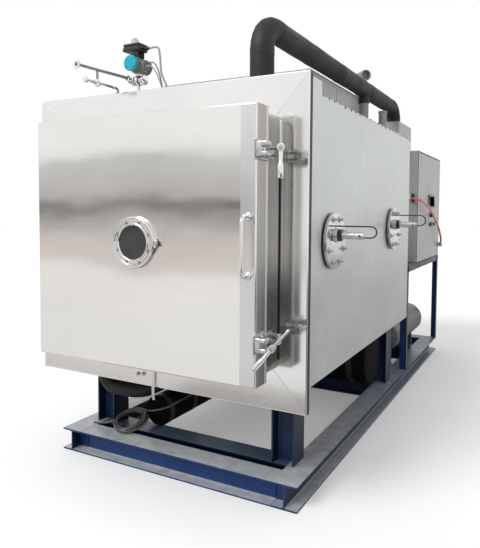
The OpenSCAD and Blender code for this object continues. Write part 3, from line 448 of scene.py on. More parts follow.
def bolt(shape, centre, direction, across=16, height=7, washer=0.0, stem=0.0, tint=0):
    """A hexagon head on a washer, with the end of its thread showing."""
    part = bmesh.new()
    bmesh.ops.create_cone(part, cap_ends=True, segments=6, radius1=across / math.sqrt(3),
                          radius2=across / math.sqrt(3), depth=height)
    eased(part, across * 0.05, 1)
    added(shape, part, faced(centre, direction) @ Matrix.Translation((0, 0, washer + height / 2)), tint)
    if washer:
        turned(shape, disc(across * 0.95, 0, washer), centre, direction, washer * 0.3, 24, tint)
    if stem:
        top = washer + height + stem
        turned(shape, [(across * 0.3, washer), (across * 0.3, top - 1), (across * 0.24, top), (0, top)],
               centre, direction, 0, 16, tint)


def weld(shape, start, end, size=5, tint=0):
    """A rippled weld bead between two points."""
    run = Vector(end) - Vector(start)
    ripples = max(4, round(run.length / (size * 1.6)))
    profile = [(size * (0.8 + 0.2 * (k % 2)), run.length * k / ripples) for k in range(ripples + 1)]
    turned(shape, [(0, 0), *profile, (0, run.length)], start, run, 0, 8, tint)


def made(name, shape, materials, *stands_for, body="frame"):
    """The shape, in metres and in the machine's frame, as a piece that rides on a body."""
    bmesh.ops.transform(shape, matrix=Matrix.Translation((0, -DOOR_FACE, 0)) @ Matrix.Scale(0.001, 4),
                        verts=shape.verts)
    for face in shape.faces:
        face.smooth = True
    for edge in shape.edges:
        areas = sorted(face.calc_area() for face in edge.link_faces)
        edge.smooth = (len(areas) == 2 and areas[1] < 25 * areas[0]
                       and edge.calc_face_angle(0) < math.radians(38))
    mesh = bpy.data.meshes.new(name)
    shape.to_mesh(mesh)
    shape.free()
    for material in materials if isinstance(materials, (list, tuple)) else [materials]:
        mesh.materials.append(material)
    piece = bpy.data.objects.new(name, mesh)
    bpy.context.scene.collection.objects.link(piece)
    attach(piece, body)
    if stands_for:
        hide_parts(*stands_for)
    return piece


beam_w, beam_h, flange_t, web_t = 148, 136, 10, 7
skid_front, skid_rear, side_x = 77, 4029, 814
leg_foot, leg_top = 136, 668


def rounded(part, corners, radius, rows):
    """Rounds corners of a flat outline."""
    bmesh.ops.bevel(part, geom=corners, offset=radius, segments=rows, profile=0.5, affect="VERTICES",
                    material=-1)


def h_beam(shape, place, length, tint=0):
    """A rolled H-beam along its own Z: flanges across X, web upright in Y."""
    part = bmesh.new()
    w, h, f, t = beam_w / 2, beam_h / 2, flange_t, web_t / 2
    outline = [(-w, -h), (w, -h), (w, f - h), (t, f - h), (t, h - f), (w, h - f),
               (w, h), (-w, h), (-w, h - f), (-t, h - f), (-t, f - h), (-w, f - h)]
    corners = [part.verts.new((x, y, 0)) for x, y in outline]
    part.faces.new(corners)
    rounded(part, [corners[k] for k in (3, 4, 9, 10)], 11, 4)
    tips = [v for v in part.verts if abs(abs(v.co.x) - w) < 0.01 and abs(abs(v.co.y) - h + f) < 0.01]
    rounded(part, tips, 4, 3)
    raised = bmesh.ops.extrude_face_region(part, geom=part.faces[:])
    bmesh.ops.translate(part, vec=(0, 0, length),
                        verts=[v for v in raised["geom"] if isinstance(v, bmesh.types.BMVert)])
    bmesh.ops.recalc_face_normals(part, faces=part.faces)
    added(shape, part, place, tint)


along = Matrix(((1, 0, 0), (0, 0, 1), (0, 1, 0))).to_4x4()
sideways = Matrix(((0, 0, 1), (1, 0, 0), (0, 1, 0))).to_4x4()
# The blue's dust grey thins towards the rear along Y, as painted shade under the chamber.
blue = enamel("deep blue enamel", (0.003, 0.024, 0.105), (0.008, 0.048, 0.18), (0.62, 0.63, 0.62), 0.90,
              0.75, (0.004, 0.012, 0.026), (0.035, 0.030, 0.42), (-1.75, 0.60, 0.45))
# A darker copy of the blue with less dust: painted shade, for the legs and the beams under the chamber.
painted_shade_blue = enamel("blue enamel with painted shade", (0.002, 0.017, 0.060), (0.005, 0.033, 0.105),
                     (0.20, 0.24, 0.27), 0.45, 0.6, (0.003, 0.011, 0.024))
for name, side in (("skid_side_beam_left", -1), ("skid_side_beam_right", 1)):
    shape = bmesh.new()
    middle = side * (side_x - beam_w / 2)
    h_beam(shape, Matrix.Translation((middle, skid_front, beam_h / 2)) @ along, skid_rear - skid_front)
    made(name.replace("skid_", ""), shape, blue, name)

inner_x = side_x - beam_w
for name, starts in (("skid_front_beams", (0, 205)), ("skid_mid_beam", (1965,)),
                     ("skid_bearers", (2446, 3299)), ("skid_rear_beam", (3804,))):
    shape = bmesh.new()
    for start in starts:
        middle = skid_front + start + beam_w / 2
        # The front beam is plain blue; the beams behind it take the darker blue as painted shade.
        h_beam(shape, Matrix.Translation((-inner_x, middle, beam_h / 2)) @ sideways, 2 * inner_x,
               0 if start == 0 else 1)
        web = (middle - web_t / 2, middle + web_t / 2)
        for side in (-1, 1):
            for edge_at in (web[0] - 3, web[1] + 3):
                weld(shape, (side * (inner_x - 2), edge_at, flange_t + 12),
                     (side * (inner_x - 2), edge_at, beam_h - flange_t - 12), 3.5)
            weld(shape, (side * inner_x, middle - 66, beam_h - 1),
                 (side * inner_x, middle + 66, beam_h - 1), 2.5)
            slab(shape, (side * (inner_x - 6), side * (side_x - beam_w / 2 - web_t / 2)), web,
                 (flange_t + 2, beam_h - flange_t - 2))
    made(name.replace("skid_", ""), shape, [blue, painted_shade_blue], name)

upended = Matrix.Rotation(math.radians(90), 4, "Z")
for name, start, outside in (("front_legs", 205, 706), ("rear_legs", 1965, 760)):
    shape = bmesh.new()
    middle = skid_front + start + beam_w / 2
    for side in (-1, 1):
        centre = side * (outside - beam_h / 2)
        h_beam(shape, Matrix.Translation((centre, middle, leg_foot)) @ upended, leg_top - leg_foot)
        for outer in (centre - beam_h / 2 + 1, centre + beam_h / 2 - 1):
            for level in (leg_foot + 1, leg_top - 1):
                weld(shape, (outer, middle - 70, level), (outer, middle + 70, level), 3.5)
    # The legs take the darker blue as painted shade.
    made(name.replace("_legs", "_leg_pair"), shape, painted_shade_blue, name)


# Pressure vessel inside the box: rolled stainless plate with stiffening frames, six shelves on two
# racks, a tray, and a welded mouth ring in front that the door closes on.
def brushed(name, tone, grain=(0.35, 0.35, 60), rough=(0.17, 0.24), cloudy=0.06, fine=14,
            line_depth=0.05, wave=0.0, dish=None):
    """Brushed stainless sheet: long fine grain, slow clouding of tone and polish, slight waves, and
    a shallow dish about a weld, given as (x, z, radius, depth) in metres."""
    material, tree, shader = new_material(name)
    lines = noise(tree, fine, 6, 0.65, grain)
    cloud = noise(tree, 1.3, 4, 0.5, (1, 1, 2.2))
    dark, light = (tuple(min(1, c * k) for c in tone) for k in (1 - cloudy, 1 + cloudy))
    body = ramp(tree, cloud, (0.3, dark), (0.7, light))
    under = None
    if dish:
        x, z, radius, depth = dish
        place = add_node(tree, "ShaderNodeTexCoord").outputs["Object"]
        place = add_node(tree, "ShaderNodeMapping", Vector=place,
                         Location=(-x / radius, 0, -z / radius),
                         Scale=(1 / radius, 0, 1 / radius)).outputs["Vector"]
        square = add_node(tree, "ShaderNodeVectorMath", place, place, operation="DOT_PRODUCT")
        more = add_node(tree, "ShaderNodeMath", square.outputs["Value"], 1.0, operation="ADD")
        sunk = add_node(tree, "ShaderNodeMath", -1.0, more.outputs[0], operation="DIVIDE")
        under = bumps(tree, sunk.outputs[0], 1.0, depth)
    if wave:
        under = bumps(tree, noise(tree, 1.6, 2, 0.4, (1.0, 1.0, 1.7)), 1.0, wave, under)
    fill(tree, shader, Metallic=1.0,
         Base_Color=blended(tree, 1.0, body, greys(tree, lines, 0.90, 1.0, 0.25, 0.75), "MULTIPLY"),
         Roughness=blended(tree, 0.5, greys(tree, cloud, *rough), greys(tree, lines, *rough)),
         Normal=bumps(tree, lines, line_depth, 0.0004, under))
    return material


def coat(material, *names):
    """Gives CAD nodes a material."""
    for name in names:
        slots = nodes[name].data.materials
        slots.clear()
        slots.append(material)


def framed(shape, rings, rows=8):
    """Sheets bridged from ring to ring: each is (x0, x1, z0, z1, corner radius, depth)."""
    part = bmesh.new()
    loops = []
    for x0, x1, z0, z1, corner, depth in rings:
        square = [part.verts.new((x, depth, z)) for x, z in ((x0, z0), (x1, z0), (x1, z1), (x0, z1))]
        part.faces.new(square)
        rounded(part, square, max(corner, 0.5), rows)
        part.faces.ensure_lookup_table()
        loops.append(part.faces[0].edges[:])
        bmesh.ops.delete(part, geom=[part.faces[0]], context="FACES_ONLY")
    for first, second in zip(loops, loops[1:]):
        bmesh.ops.bridge_loops(part, edges=first + second)
    bmesh.ops.remove_doubles(part, verts=part.verts, dist=0.01)
    bmesh.ops.recalc_face_normals(part, faces=part.faces)
    added(shape, part)


vessel_steel = brushed("rolled vessel steel", (0.72, 0.72, 0.71), (6, 6, 1), (0.3, 0.42))
coat(vessel_steel, "chamber_vessel", "shelf_rack", "floor_tray")
mouth_x, door_z = 57, 1376
shape = bmesh.new()
for k in range(6):
    low = 906 + 192 * k
    slab(shape, (mouth_x - 499, mouth_x + 499), (160.5, 1859.5), (low, low + 22), 4, rows=3)
    rod(shape, (mouth_x - 470, 159.5, low + 11), (mouth_x + 470, 159.5, low + 11), 5, 2, 16)
made("tray_shelves", shape, vessel_steel, "shelves")

# Painted shade: the mouth ring's steel is far darker than the bezel, for the shadowed gap between the
# door and the bezel.
ring_steel_with_painted_shade = brushed("turned ring steel, darkened as painted shade", (0.34, 0.33, 0.32), (0.5, 14, 0.5), (0.16, 0.24), 0.15, 8)
ring_box = ring_x0, ring_x1, ring_z0, ring_z1 = mouth_x - 682, mouth_x + 682, door_z - 642, door_z + 642
hole_w, hole_h = 600, 550
mouth_hole = (mouth_x - hole_w, mouth_x + hole_w, door_z - hole_h, door_z + hole_h)


def grown(box, out, corner, depth):
    """A ring for framed: a box grown outwards."""
    x0, x1, z0, z1 = box
    return (x0 - out, x1 + out, z0 - out, z1 + out, corner + out, depth)


shape = bmesh.new()
section = [grown(ring_box, out, 80, depth) for out, depth in
           ((0, -135.7), (0, -112), (-5, -110), (-5, -104), (0, -102), (0, -60), (-3, -58), (-3, -54),
            (0, -52), (0, 40))]
section += [grown(mouth_hole, out, 60, depth) for out, depth in ((0, 40), (0, -135.7), (2, -137.7))]
framed(shape, section + [grown(ring_box, -2, 80, -137.7), section[0]])
made("mouth_ring_forging", shape, ring_steel_with_painted_shade, "mouth_ring")

# Bezel: four mitred strips of 4 mm stainless round the mouth ring, their outer edges folded back.
# The strips are brushed along their length and seam-welded at the corners. Black is painted
# in as shadow: a black bead round the ring's foot, the folds' outer sides, and black strips
# behind the folds.
bezel_x, bezel_z0, bezel_z1 = 890, 545, 2205
upright_steel = brushed("upright brushed bezel", (0.86, 0.85, 0.84), (40, 40, 0.3), (0.10, 0.16), 0.05,
                        wave=0.0015)
level_steel = brushed("level brushed bezel", (0.88, 0.87, 0.86), (0.3, 40, 40), (0.12, 0.18), 0.05,
                      wave=0.0015)
# Black standing in for the shadow gaps round the ring and the folds: painted shadow.
shadow_gap_black = rubber("black strip, painted shadow gap", grey(0.006), grey(0.02), (0.35, 0.5), 0.2)
seam_steel = brushed("ground seam", (0.60, 0.59, 0.575), (60, 60, 60), (0.3, 0.4), 0.1)
shape = bmesh.new()
hole = grown(ring_box, 0.3, 0, 0)[:4]
rim = (-bezel_x, bezel_x, bezel_z0, bezel_z1)
framed(shape, [grown(hole, 0, 80, 4), grown(hole, 0, 80, 0)]
       + [grown(rim, out, corner, depth) for out, corner, depth in
          ((-5, 6, 0), (-1.5, 3, 1.5), (0, 1, 5), (0, 1, 38), (-4, 1, 38), (-4, 1, 4))]
       + [grown(hole, 0, 80, 4)])
join_x, join_z = hole_w + 2, hole_h + 12
for x, z in ((-1, -1), (-1, 1), (1, -1), (1, 1)):
    inner = Vector((mouth_x + x * join_x, 0, door_z + z * join_z))
    outer = Vector((x * bezel_x, 0, bezel_z1 if z > 0 else bezel_z0))
    run = outer - inner
    bmesh.ops.bisect_plane(shape, geom=shape.verts[:] + shape.edges[:] + shape.faces[:], dist=0.001,
                           plane_co=inner, plane_no=(run.z, 0, -run.x))
    start = inner + run.normalized() * 38
    seam = Matrix.Translation(start) @ Matrix.Rotation(-math.atan2(run.z, run.x), 4, "Y")
    slab(shape, (0, (outer - start).length - 5), (-0.5, 1), (-1.6, 1.6), 0.4, seam, 2)
for face in shape.faces:
    if face.material_index > 1:
        continue
    spot = face.calc_center_median()
    reach_x, reach_z = (
        (abs(place - middle) - join) / (abs(edge - middle) - join) for place, middle, join, edge in (
            (spot.x, mouth_x, join_x, bezel_x if spot.x > mouth_x else -bezel_x),
            (spot.z, door_z, join_z, bezel_z1 if spot.z > door_z else bezel_z0)))
    face.material_index = 0 if reach_x > reach_z else 1
    # Painted shadow: the folds' outer side faces are black.
    if abs(face.normal.x) > 0.9 and abs(spot.x) > bezel_x - 0.4:
        face.material_index = 3
# A black bead round the ring's foot, as painted shadow in the gap between ring and bezel.
for x in (ring_x0 - 3, ring_x1 + 3):
    weld(shape, (x, 0, ring_z0 + 70), (x, 0, ring_z1 - 70), 4.5, 3)
for z in (ring_z0 - 3, ring_z1 + 3):
    weld(shape, (ring_x0 + 70, 0, z), (ring_x1 - 70, 0, z), 4.5, 3)
# Black strips behind the folds, as painted shadow.
for z in (bezel_z0 + 12, bezel_z1 - 12):
    slab(shape, (-bezel_x + 8, bezel_x - 8), (26, 40), (z - 5, z + 5), 2, tint=3)
for x in (-bezel_x + 5, bezel_x - 5):
    slab(shape, (x - 4.6, x + 4.6), (31, 41), (bezel_z0 + 8, bezel_z1 - 8), 2, tint=3)
for x, z in ((-138, 606), (-99, 612)):
    turned(shape, solid((7, -14), (9, -9), (9, 0), (12, 0), (12, 2)), (x, -2, z), REAR, 0.6, 20, 2)
made("bezel_strips", shape, [upright_steel, level_steel, seam_steel, shadow_gap_black], "bezel")

# Drip tube: a thin bright stainless tube clipped to the bezel's foot. It carries off the condensate
# that gathers under the door.
drip_steel = brushed("drip tube steel", (0.80, 0.79, 0.78), (30, 30, 0.5), (0.12, 0.2))
round_line("drip_tube", [(-24, -12, 632), (-24, -13, 600), (-24, -13, 545), (-24, -12, 500),
                         (-24, -6, 478)], 10, 16, drip_steel, "frame", "bezel", sides=6)

# Collar: the welded box section that carries the bezel, faced with the cladding's dull sheet. Its
# long edges are folded.
cladding = brushed("dull cladding sheet", (0.62, 0.645, 0.62), (1, 1, 1), (0.36, 0.46), 0.06, 8, 0.04,
                   0.004)
shape = bmesh.new()
collar_top = 2185
collar = (-885, 885, 668.5, collar_top)
framed(shape, [grown(collar, out, corner, depth) for out, corner, depth in
               ((-60, 61, 4), (-1, 3, 4), (0, 3, 6), (0, 3, 173), (-1, 3, 175), (-60, 61, 175),
                (-60, 61, 4))])
made("collar_section", shape, cladding, "front_collar")

# Cladding: dull stainless sheets over foam. The side sheets hook over small grimy clips along their
# top edge, and the roof and rear sheets are screwed down in rows.
clip_steel = rubber("grimy clip steel", grey(0.05), (0.32, 0.33, 0.31), (0.4, 0.7), 0.3, 80)
draw = random.Random(7)
for name, side in (("side_panels_right", 1), ("side_panels_left", -1)):
    shape = bmesh.new()
    for d0, d1 in ((175.5, 833.6), (835.4, 2189.5)):
        slab(shape, (side * 873.5, side * 884.5), (d0, d1), (668.5, 2119.5), 3, rows=3)
        count = round((d1 - d0) / 95)
        for k in range(count + 1):
            place = d0 + 18 + (d1 - d0 - 36) * k / count
            wide = 4 + 9 * draw.random()
            drop = 5 + 11 * draw.random()
            place += 22 * (draw.random() - 0.5)
            slab(shape, (side * 882, side * 887), (place - wide, place + wide), (2120 - drop, 2121.5),
                 tint=1)
    made(name.replace("side_panels", "cladding"), shape, [cladding, clip_steel], name)
shape = bmesh.new()
slab(shape, (-873, 873), (175.5, 2189.5), (2108.5, 2119.5), 3)
screws(shape, [(x, d, 2119) for x in range(-820, 830, 205) for d in (200, 2165)], (0, 0, 3))
made("roof_sheet", shape, cladding, "roof_panel")
shape = bmesh.new()
slab(shape, (-873, 873), (2178.5, 2189.8), (688.5, 2107.5), 3)
slab(shape, (-860, 860), (2186, 2192), (1390, 1414), 1.5)
screws(shape, [(x, 2189, z) for x in range(-820, 830, 205) for z in (710, 1380, 1424, 2086)], (0, 3, 0))
made("rear_sheet", shape, cladding, "rear_panel")

# Door: a folded pan of 4 mm brushed stainless over foam, with a welded cover strip down its clamp
# side and a plain liner behind. A black lip seal lies round the liner's edge.
door_steel = brushed("brushed door steel", (0.87, 0.85, 0.83), (0.35, 0.35, 60), (0.06, 0.14), 0.03, 14,
                     0.04, 0.0030, (0.057, 1.376, 0.26, 0.0055))
strip_steel = brushed("door edge steel", (0.72, 0.71, 0.70), (50, 50, 0.4), (0.2, 0.3), 0.05)
# A darker copy of the door steel: painted shade on the door's clamp-side edge face.
door_side_shade_steel = brushed("door side steel, darkened as painted shade", (0.47, 0.455, 0.44), (50, 50, 0.4), (0.24, 0.36), 0.06)
door_x0, door_x1, door_z0, door_z1 = -633, 747, 726, 2026
door_front, door_back = -265, -146
strip_x, bore_r = 664, 105.5


def bored(shape, x, z, radius, d0, d1):
    """Cuts a round hole along Y right through a shape."""
    mesh = bpy.data.meshes.new("blank")
    shape.to_mesh(mesh)
    shape.clear()
    blank = bpy.data.objects.new("blank", mesh)
    drill_shape = bmesh.new()
    rod(drill_shape, (x, d0, z), (x, d1, z), radius, 0, 64)
    drill_mesh = bpy.data.meshes.new("drill")
    drill_shape.to_mesh(drill_mesh)
    drill_shape.free()
    drill = bpy.data.objects.new("drill", drill_mesh)
    for thing in (blank, drill):
        bpy.context.scene.collection.objects.link(thing)
    cut = blank.modifiers.new("bore", "BOOLEAN")
    cut.operation, cut.solver, cut.object = "DIFFERENCE", "EXACT", drill
    bpy.context.view_layer.update()
    result = blank.evaluated_get(bpy.context.evaluated_depsgraph_get())
    shape.from_mesh(result.to_mesh())
    result.to_mesh_clear()
    for thing in (blank, drill):
        data = thing.data
        bpy.data.objects.remove(thing)
        bpy.data.meshes.remove(data)


shape = bmesh.new()
slab(shape, (door_x0, door_x1), (door_front, door_back - 20.5), (door_z0, door_z1), 7, rows=4)
bored(shape, mouth_x, door_z, bore_r, door_front - 5, door_back)
slab(shape, (strip_x, door_x1 - 8), (door_front - 0.8, door_front + 1), (door_z0 + 8, door_z1 - 8), 0.5,
     tint=1)
# Painted shade: the door's side face towards the clamps takes the darker steel.
for face in shape.faces:
    if face.normal.x > 0.9 and face.calc_center_median().x > door_x1 - 8:
        face.material_index = 2
made("door_pan", shape, [door_steel, strip_steel, door_side_shade_steel], "door_skin", body="door")
shape = bmesh.new()
slab(shape, (door_x0 + 1, door_x1 - 1), (door_back - 20, door_back), (door_z0 + 1, door_z1 - 1), 2)
bored(shape, mouth_x, door_z, bore_r, door_back - 30, door_back + 5)
for k in range(9):
    for z in (door_z0 + 18, door_z1 - 18):
        x = door_x0 + 40 + (door_x1 - door_x0 - 80) * k / 8
        rod(shape, (x, door_back - 1, z), (x, door_back + 1.2, z), 5, 0.6, 14)
made("door_inner_plate", shape, vessel_steel, "door_liner", body="door")
seal = rubber("black lip seal", grey(0.012), grey(0.03), (0.35, 0.5), 0.1)
shape = bmesh.new()
framed(shape, [grown(mouth_hole, out, 60, depth) for out, depth in
               ((20, -146), (45, -146), (45, -143), (41, -141.5), (40, -139), (36, -138), (29, -138),
                (25, -139), (24, -141.5), (20, -143), (20, -146))])
made("lip_seal", shape, seal, "door_gasket", body="door")

# Viewport: a turned stainless bezel bolted over a thick sight glass, with a tube through the door.
# The glass looks black, because the chamber behind it is dark.
def arc(centre, radius, first, last, steps, plane):
    """Points on an arc in the plane 'dz', 'xd' or 'xz' about a centre."""
    spots = []
    for k in range(steps + 1):
        angle = math.radians(first + (last - first) * k / steps)
        a, b = radius * math.cos(angle), radius * math.sin(angle)
        move = {"dz": (0, a, b), "xd": (a, b, 0), "xz": (a, 0, b)}[plane]
        spots.append(tuple(c + m for c, m in zip(centre, move)))
    return spots


chrome = brushed("polished steel", grey(0.80), (1, 1, 1), (0.08, 0.16), 0.04, 40, 0.02)
satin = brushed("satin turned steel", grey(0.55), (3, 3, 3), (0.22, 0.32), 0.06, 30)
shape = bmesh.new()
port = (mouth_x, door_front, door_z)
turned(shape, [(105, 119), (105, 0.5), (134, 0.5), (134, -8), (131, -14), (131, -20), (127, -25),
               (115, -25), (112, -21), (100, -21), (97, -25), (91, -25), (87, -22), (87, -16),
               (95, -16), (95, 119), (105, 119)], port, REAR, 0.8, 64)
for spot in arc((mouth_x, door_front - 20, door_z), 106, 22.5, 337.5, 7, "xz"):
    bolt(shape, spot, FRONT, 9, 4, 1, tint=1)
slab(shape, (mouth_x + 118, mouth_x + 150), (door_front - 24, door_front - 10),
     (door_z - 16, door_z + 16), 3, tint=1)
rod(shape, (mouth_x + 137, door_front - 17, door_z - 22), (mouth_x + 137, door_front - 17, door_z + 22),
    6, 1, 20)
made("viewport_bezel", shape, [chrome, satin], "viewport_ring", body="door")
glass, tree, shader = new_material("dark sight glass")
fill(tree, shader, Coat_Weight=0.6, Roughness=greys(tree, noise(tree, 30, 4), 0.03, 0.10),
     Base_Color=ramp(tree, noise(tree, 9, 3), (0.3, (0.006, 0.008, 0.008)),
                     (0.7, (0.03, 0.034, 0.034))))
shape = bmesh.new()
turned(shape, solid((94.7, 3), (94.7, -14), (93, -15.7)), port, REAR, 0, 64)
turned(shape, sleeve(60, 86, -16.4, -15), port, REAR, 0.2, 64)
made("sight_glass", shape, glass, "viewport_glass", body="door")

# Pull handle: an 18 mm round stainless bar, bent twice and welded to two small bosses near the
# clamped edge of the door.
shape = bmesh.new()
pull_x, pull_low = 705, 1235
for z in (pull_low + 9, pull_low + 279):
    turned(shape, solid((19, 0), (19, -4), (15, -6), (10, -7.5)), (pull_x, door_front, z), REAR, 0.6,
           28)
made("handle_bosses", shape, chrome, body="door")
bend = [(0, 0), (0, -34), (2.3, -46.5), (8.8, -56.2), (18.5, -62.7), (31, -65)]
route = [(pull_x, door_front + out, pull_low + 9 + up) for up, out in bend]
route += [(pull_x, door_front - 65, pull_low + z) for z in (80, 144, 208)]
route += [(pull_x, door_front + out, pull_low + 279 - up) for up, out in reversed(bend)]
round_line("pull_handle_bar", route, 6, 18, chrome, "door", "pull_handle", "pull_handle", sides=8)

# Door clamps: forks on the door's edge take swing bolts that hang from lugs on the ring. Each bolt
# carries a T-shaped nut with a thin and a thick arm. All are machined stainless, worn satin.
clamp_steel = brushed("worn clamp steel", (0.56, 0.55, 0.54), (2, 2, 2), (0.2, 0.34), 0.12, 40, 0.08)
bright_steel = brushed("turned bright steel", (0.84, 0.84, 0.83), (3, 3, 3), (0.12, 0.2), 0.05, 40,
                       0.03)
lug_x, lug_d = 797, -128
clamp_heights = (1814, 938)
shape = bmesh.new()
for z in clamp_heights:
    slab(shape, (747.2, 755), (-298, -166), (z - 45, z + 45), 3, rows=3)
    slab(shape, (753, 786), (-296, -246), (z - 35, z + 35), 6, rows=3)
    for low in (z - 35, z + 10):
        slab(shape, (776, 812), (-296, -246), (low, low + 25), 7, rows=3)
    for low in (z - 37, z + 37):
        weld(shape, (756, -292, low), (756, -250, low), 3)
    for d in (-228, -188):
        for up in (-28, 28):
            bolt(shape, (755, d, z + up), RIGHT, 15, 8, 2, 4)
made("fork_blocks", shape, [clamp_steel, bright_steel], "clamp_forks", body="door")
shape = bmesh.new()
for z in clamp_heights:
    for side in (-1, 1):
        low, high = sorted((z + side * 12.4, z + side * 20.2))
        slab(shape, (739, lug_x), (-138, -88), (low, high), 2)
        turned(shape, disc(15, 0, 7.8), (lug_x, lug_d, low), UP, 1.2, 28)
    slab(shape, (738.5, 743), (-140, -80), (z - 30, z + 30), 2)
    weld(shape, (742, -142, z - 22), (742, -142, z + 22), 3)
    turned(shape, solid((6, -27), (6, -22), (10, -22), (10, -20.3), (6, -20.3), (6, 20.3), (10, 20.3),
                        (10, 22), (8, 25), (4, 27)), (lug_x, lug_d, z), UP, 0.5, 24)
made("clamp_ears", shape, clamp_steel, "clamp_lugs")
for name, z, turn, roll in (("upper", 1814, 25.5, 90), ("lower", 938, 16.5, 50)):
    place = Matrix.Translation((lug_x, lug_d, z)) @ Matrix.Rotation(math.radians(turn), 4, "Z")
    shape = bmesh.new()
    turned(shape, sleeve(6.4, 15, -12, 12), (0, 0, 0), UP, 1.5, 36, matrix=place)
    thread = [(0, 9), (6, 9), (8, 14), (8, 108)]
    for k in range(40):
        thread += [(8, 110 + 2.6 * k), (7.1, 111.3 + 2.6 * k)]
    turned(shape, thread + [(6, 214), (0, 214)], (0, 0, 0), FRONT, 0, 20, matrix=place)
    made(name + "_clamp_rod", shape, clamp_steel, name + "_swing_bolt", body=name + "_bolt")
    shape = bmesh.new()
    place = place @ Matrix.Translation((0, -185, 0)) @ Matrix.Rotation(math.radians(-roll), 4, "Y")
    turned(shape, [(8.05, -15), (17, -15), (17, -11), (13, -8), (13, 8), (15.5, 11), (15.5, 15),
                   (8.05, 15), (8.05, -15)], (0, 0, 0), REAR, 0.8, 32, 1, place)
    # The thin arm takes the darker clamp steel as painted shade; the hub and the thick arm are bright.
    turned(shape, [(0, 8), (7.5, 8), (6.2, 20), (6.2, 108), (5, 113), (0, 115)], (0, 0, 0), RIGHT, 0.6,
           20, matrix=place)
    turned(shape, [(0, 8), (9, 8), (9, 66), (12.4, 72), (12.4, 128), (10, 133), (0, 135)], (0, 0, 0),
           LEFT, 0.8, 28, 1, place)
    made(name + "_tee_nut", shape, [clamp_steel, bright_steel], name + "_t_bar", body=name + "_nut")

# Hinges: a block on the door turns on a 24 mm pin between two cheeks of a bolted bracket. There are
# two, machined from stainless, on the door's left edge.
hinge_x, hinge_d = -677, -106
hinge_heights = (door_z + 440, door_z - 440)
shape = bmesh.new()
for z in hinge_heights:
    slab(shape, (hinge_x - 24, -634), (-204, -158), (z - 34, z + 34), 5, rows=3)
    slab(shape, (hinge_x - 25, hinge_x + 25), (-191, hinge_d - 14), (z - 34, z + 34), 3, rows=3)
    turned(shape, sleeve(12.1, 26, -34, 34), (hinge_x, hinge_d, z), UP, 2, 40)
    slab(shape, (-643, -633.2), (-251, -161), (z - 80, z + 80), 3)
    for up in (-60, 60):
        for d in (-236, -178):
            bolt(shape, (-643, d, z + up), LEFT, 13, 5, 1.5, 0)
made("hinge_blocks", shape, door_steel, "hinge_arms", body="door")
shape = bmesh.new()
for z in hinge_heights:
    slab(shape, (hinge_x - 55, hinge_x + 45), (-14, 0), (z - 95, z + 95), 4, rows=3)
    for side in (-1, 1):
        middle = z + side * 45
        slab(shape, (hinge_x - 26, hinge_x + 26), (hinge_d, -12), (middle - 10, middle + 10), 2)
        turned(shape, disc(26, -10, 10), (hinge_x, hinge_d, middle), UP, 1.5, 40)
        weld(shape, (hinge_x - 24, -15, middle - side * 12), (hinge_x + 24, -15, middle - side * 12), 4)
        for x in (-38, 28):
            bolt(shape, (hinge_x + x, -14, z + side * 78), FRONT, 17, 9, 2.5, 4)
    turned(shape, solid((15, -63), (17, -60), (17, -55.5), (12, -55.5), (12, 55.5), (17, 55.5),
                        (17, 60), (15, 63)), (hinge_x, hinge_d, z), UP, 0.6, 32)
made("hinge_cheeks", shape, satin, "hinge_brackets")

# Insulated pipe: a suction line in black elastomer foam, glued along its seam and taped at the
# joints, from the collar over the roof to the refrigeration header, with one branch.
foam = rubber("black pipe foam", (0.004, 0.004, 0.0043), (0.014, 0.014, 0.0145), (0.5, 0.8), 0.6, 26)
tape = rubber("black foam tape", (0.004, 0.004, 0.0043), (0.014, 0.014, 0.0145), (0.5, 0.7), 0.4, 40)
# Near-black foam with little sheen, far darker than the pipe foam: painted shade for the cold trap and
# duct in the deep shadow under the chamber.
shade_black_foam = rubber("near-black foam, painted shade", (0.0006, 0.0006, 0.0007), (0.0025, 0.0025, 0.0026), (0.7, 0.9),
                     0.5, 20)
shade_black_foam.node_tree.nodes["Principled BSDF"].inputs["Specular IOR Level"].default_value = 0.12


def hose_line(name, places, step, diameter, material, swell, *stands_for, sides=7):
    """A round line whose thickness wavers slowly along its length."""
    line = round_line(name, places, step, diameter, material, "frame", *stands_for, sides=sides)
    for k, point in enumerate(line.data.splines[0].points):
        point.radius = 1 + swell * (math.sin(k * 0.61) + math.sin(k * 0.23 + 1.3)) / 2


pipe_x, pipe_top, pipe_front, pipe_rear, bend_r = 585, 2490.5, 103, 2843, 126
bend_z = pipe_top - bend_r
route = [(pipe_x, pipe_front, z) for z in (collar_top, 2240, 2300)]
route += arc((pipe_x, pipe_front + bend_r, bend_z), bend_r, 180, 90, 6, "dz")
route += [(pipe_x, d, pipe_top) for d in range(400, 2700, 200)]
route += arc((pipe_x, pipe_rear - bend_r, bend_z), bend_r, 90, 0, 6, "dz") + [(pipe_x, pipe_rear, 2361)]
hose_line("foam_pipe", route, 30, 125, foam, 0.012, "insulated_pipe", "insulated_pipe", sides=9)
branch_d = 1885
route = [(pipe_x, branch_d, z) for z in (2380.5, 2410, 2440)]
hose_line("foam_branch", route, 20, 85, foam, 0.02, "insulated_pipe")
shape = bmesh.new()
for d, wide in ((262, 52), (770, 46), (1310, 56), (1800, 44), (1985, 48), (2450, 52), (2690, 46)):
    turned(shape, [(60, -wide / 2), (63.6, -wide / 2), (64.1, 0), (63.6, wide / 2), (60, wide / 2),
                   (60, -wide / 2)], (pipe_x, d, pipe_top), REAR, 0.5, 48)
for z in (2196, 2350):
    turned(shape, sleeve(60, 63.8, -20, 20), (pipe_x, pipe_front, z), UP, 0.5, 48)
turned(shape, sleeve(40, 44.4, -16, 16), (pipe_x, branch_d, 2398), UP, 0.5, 40)
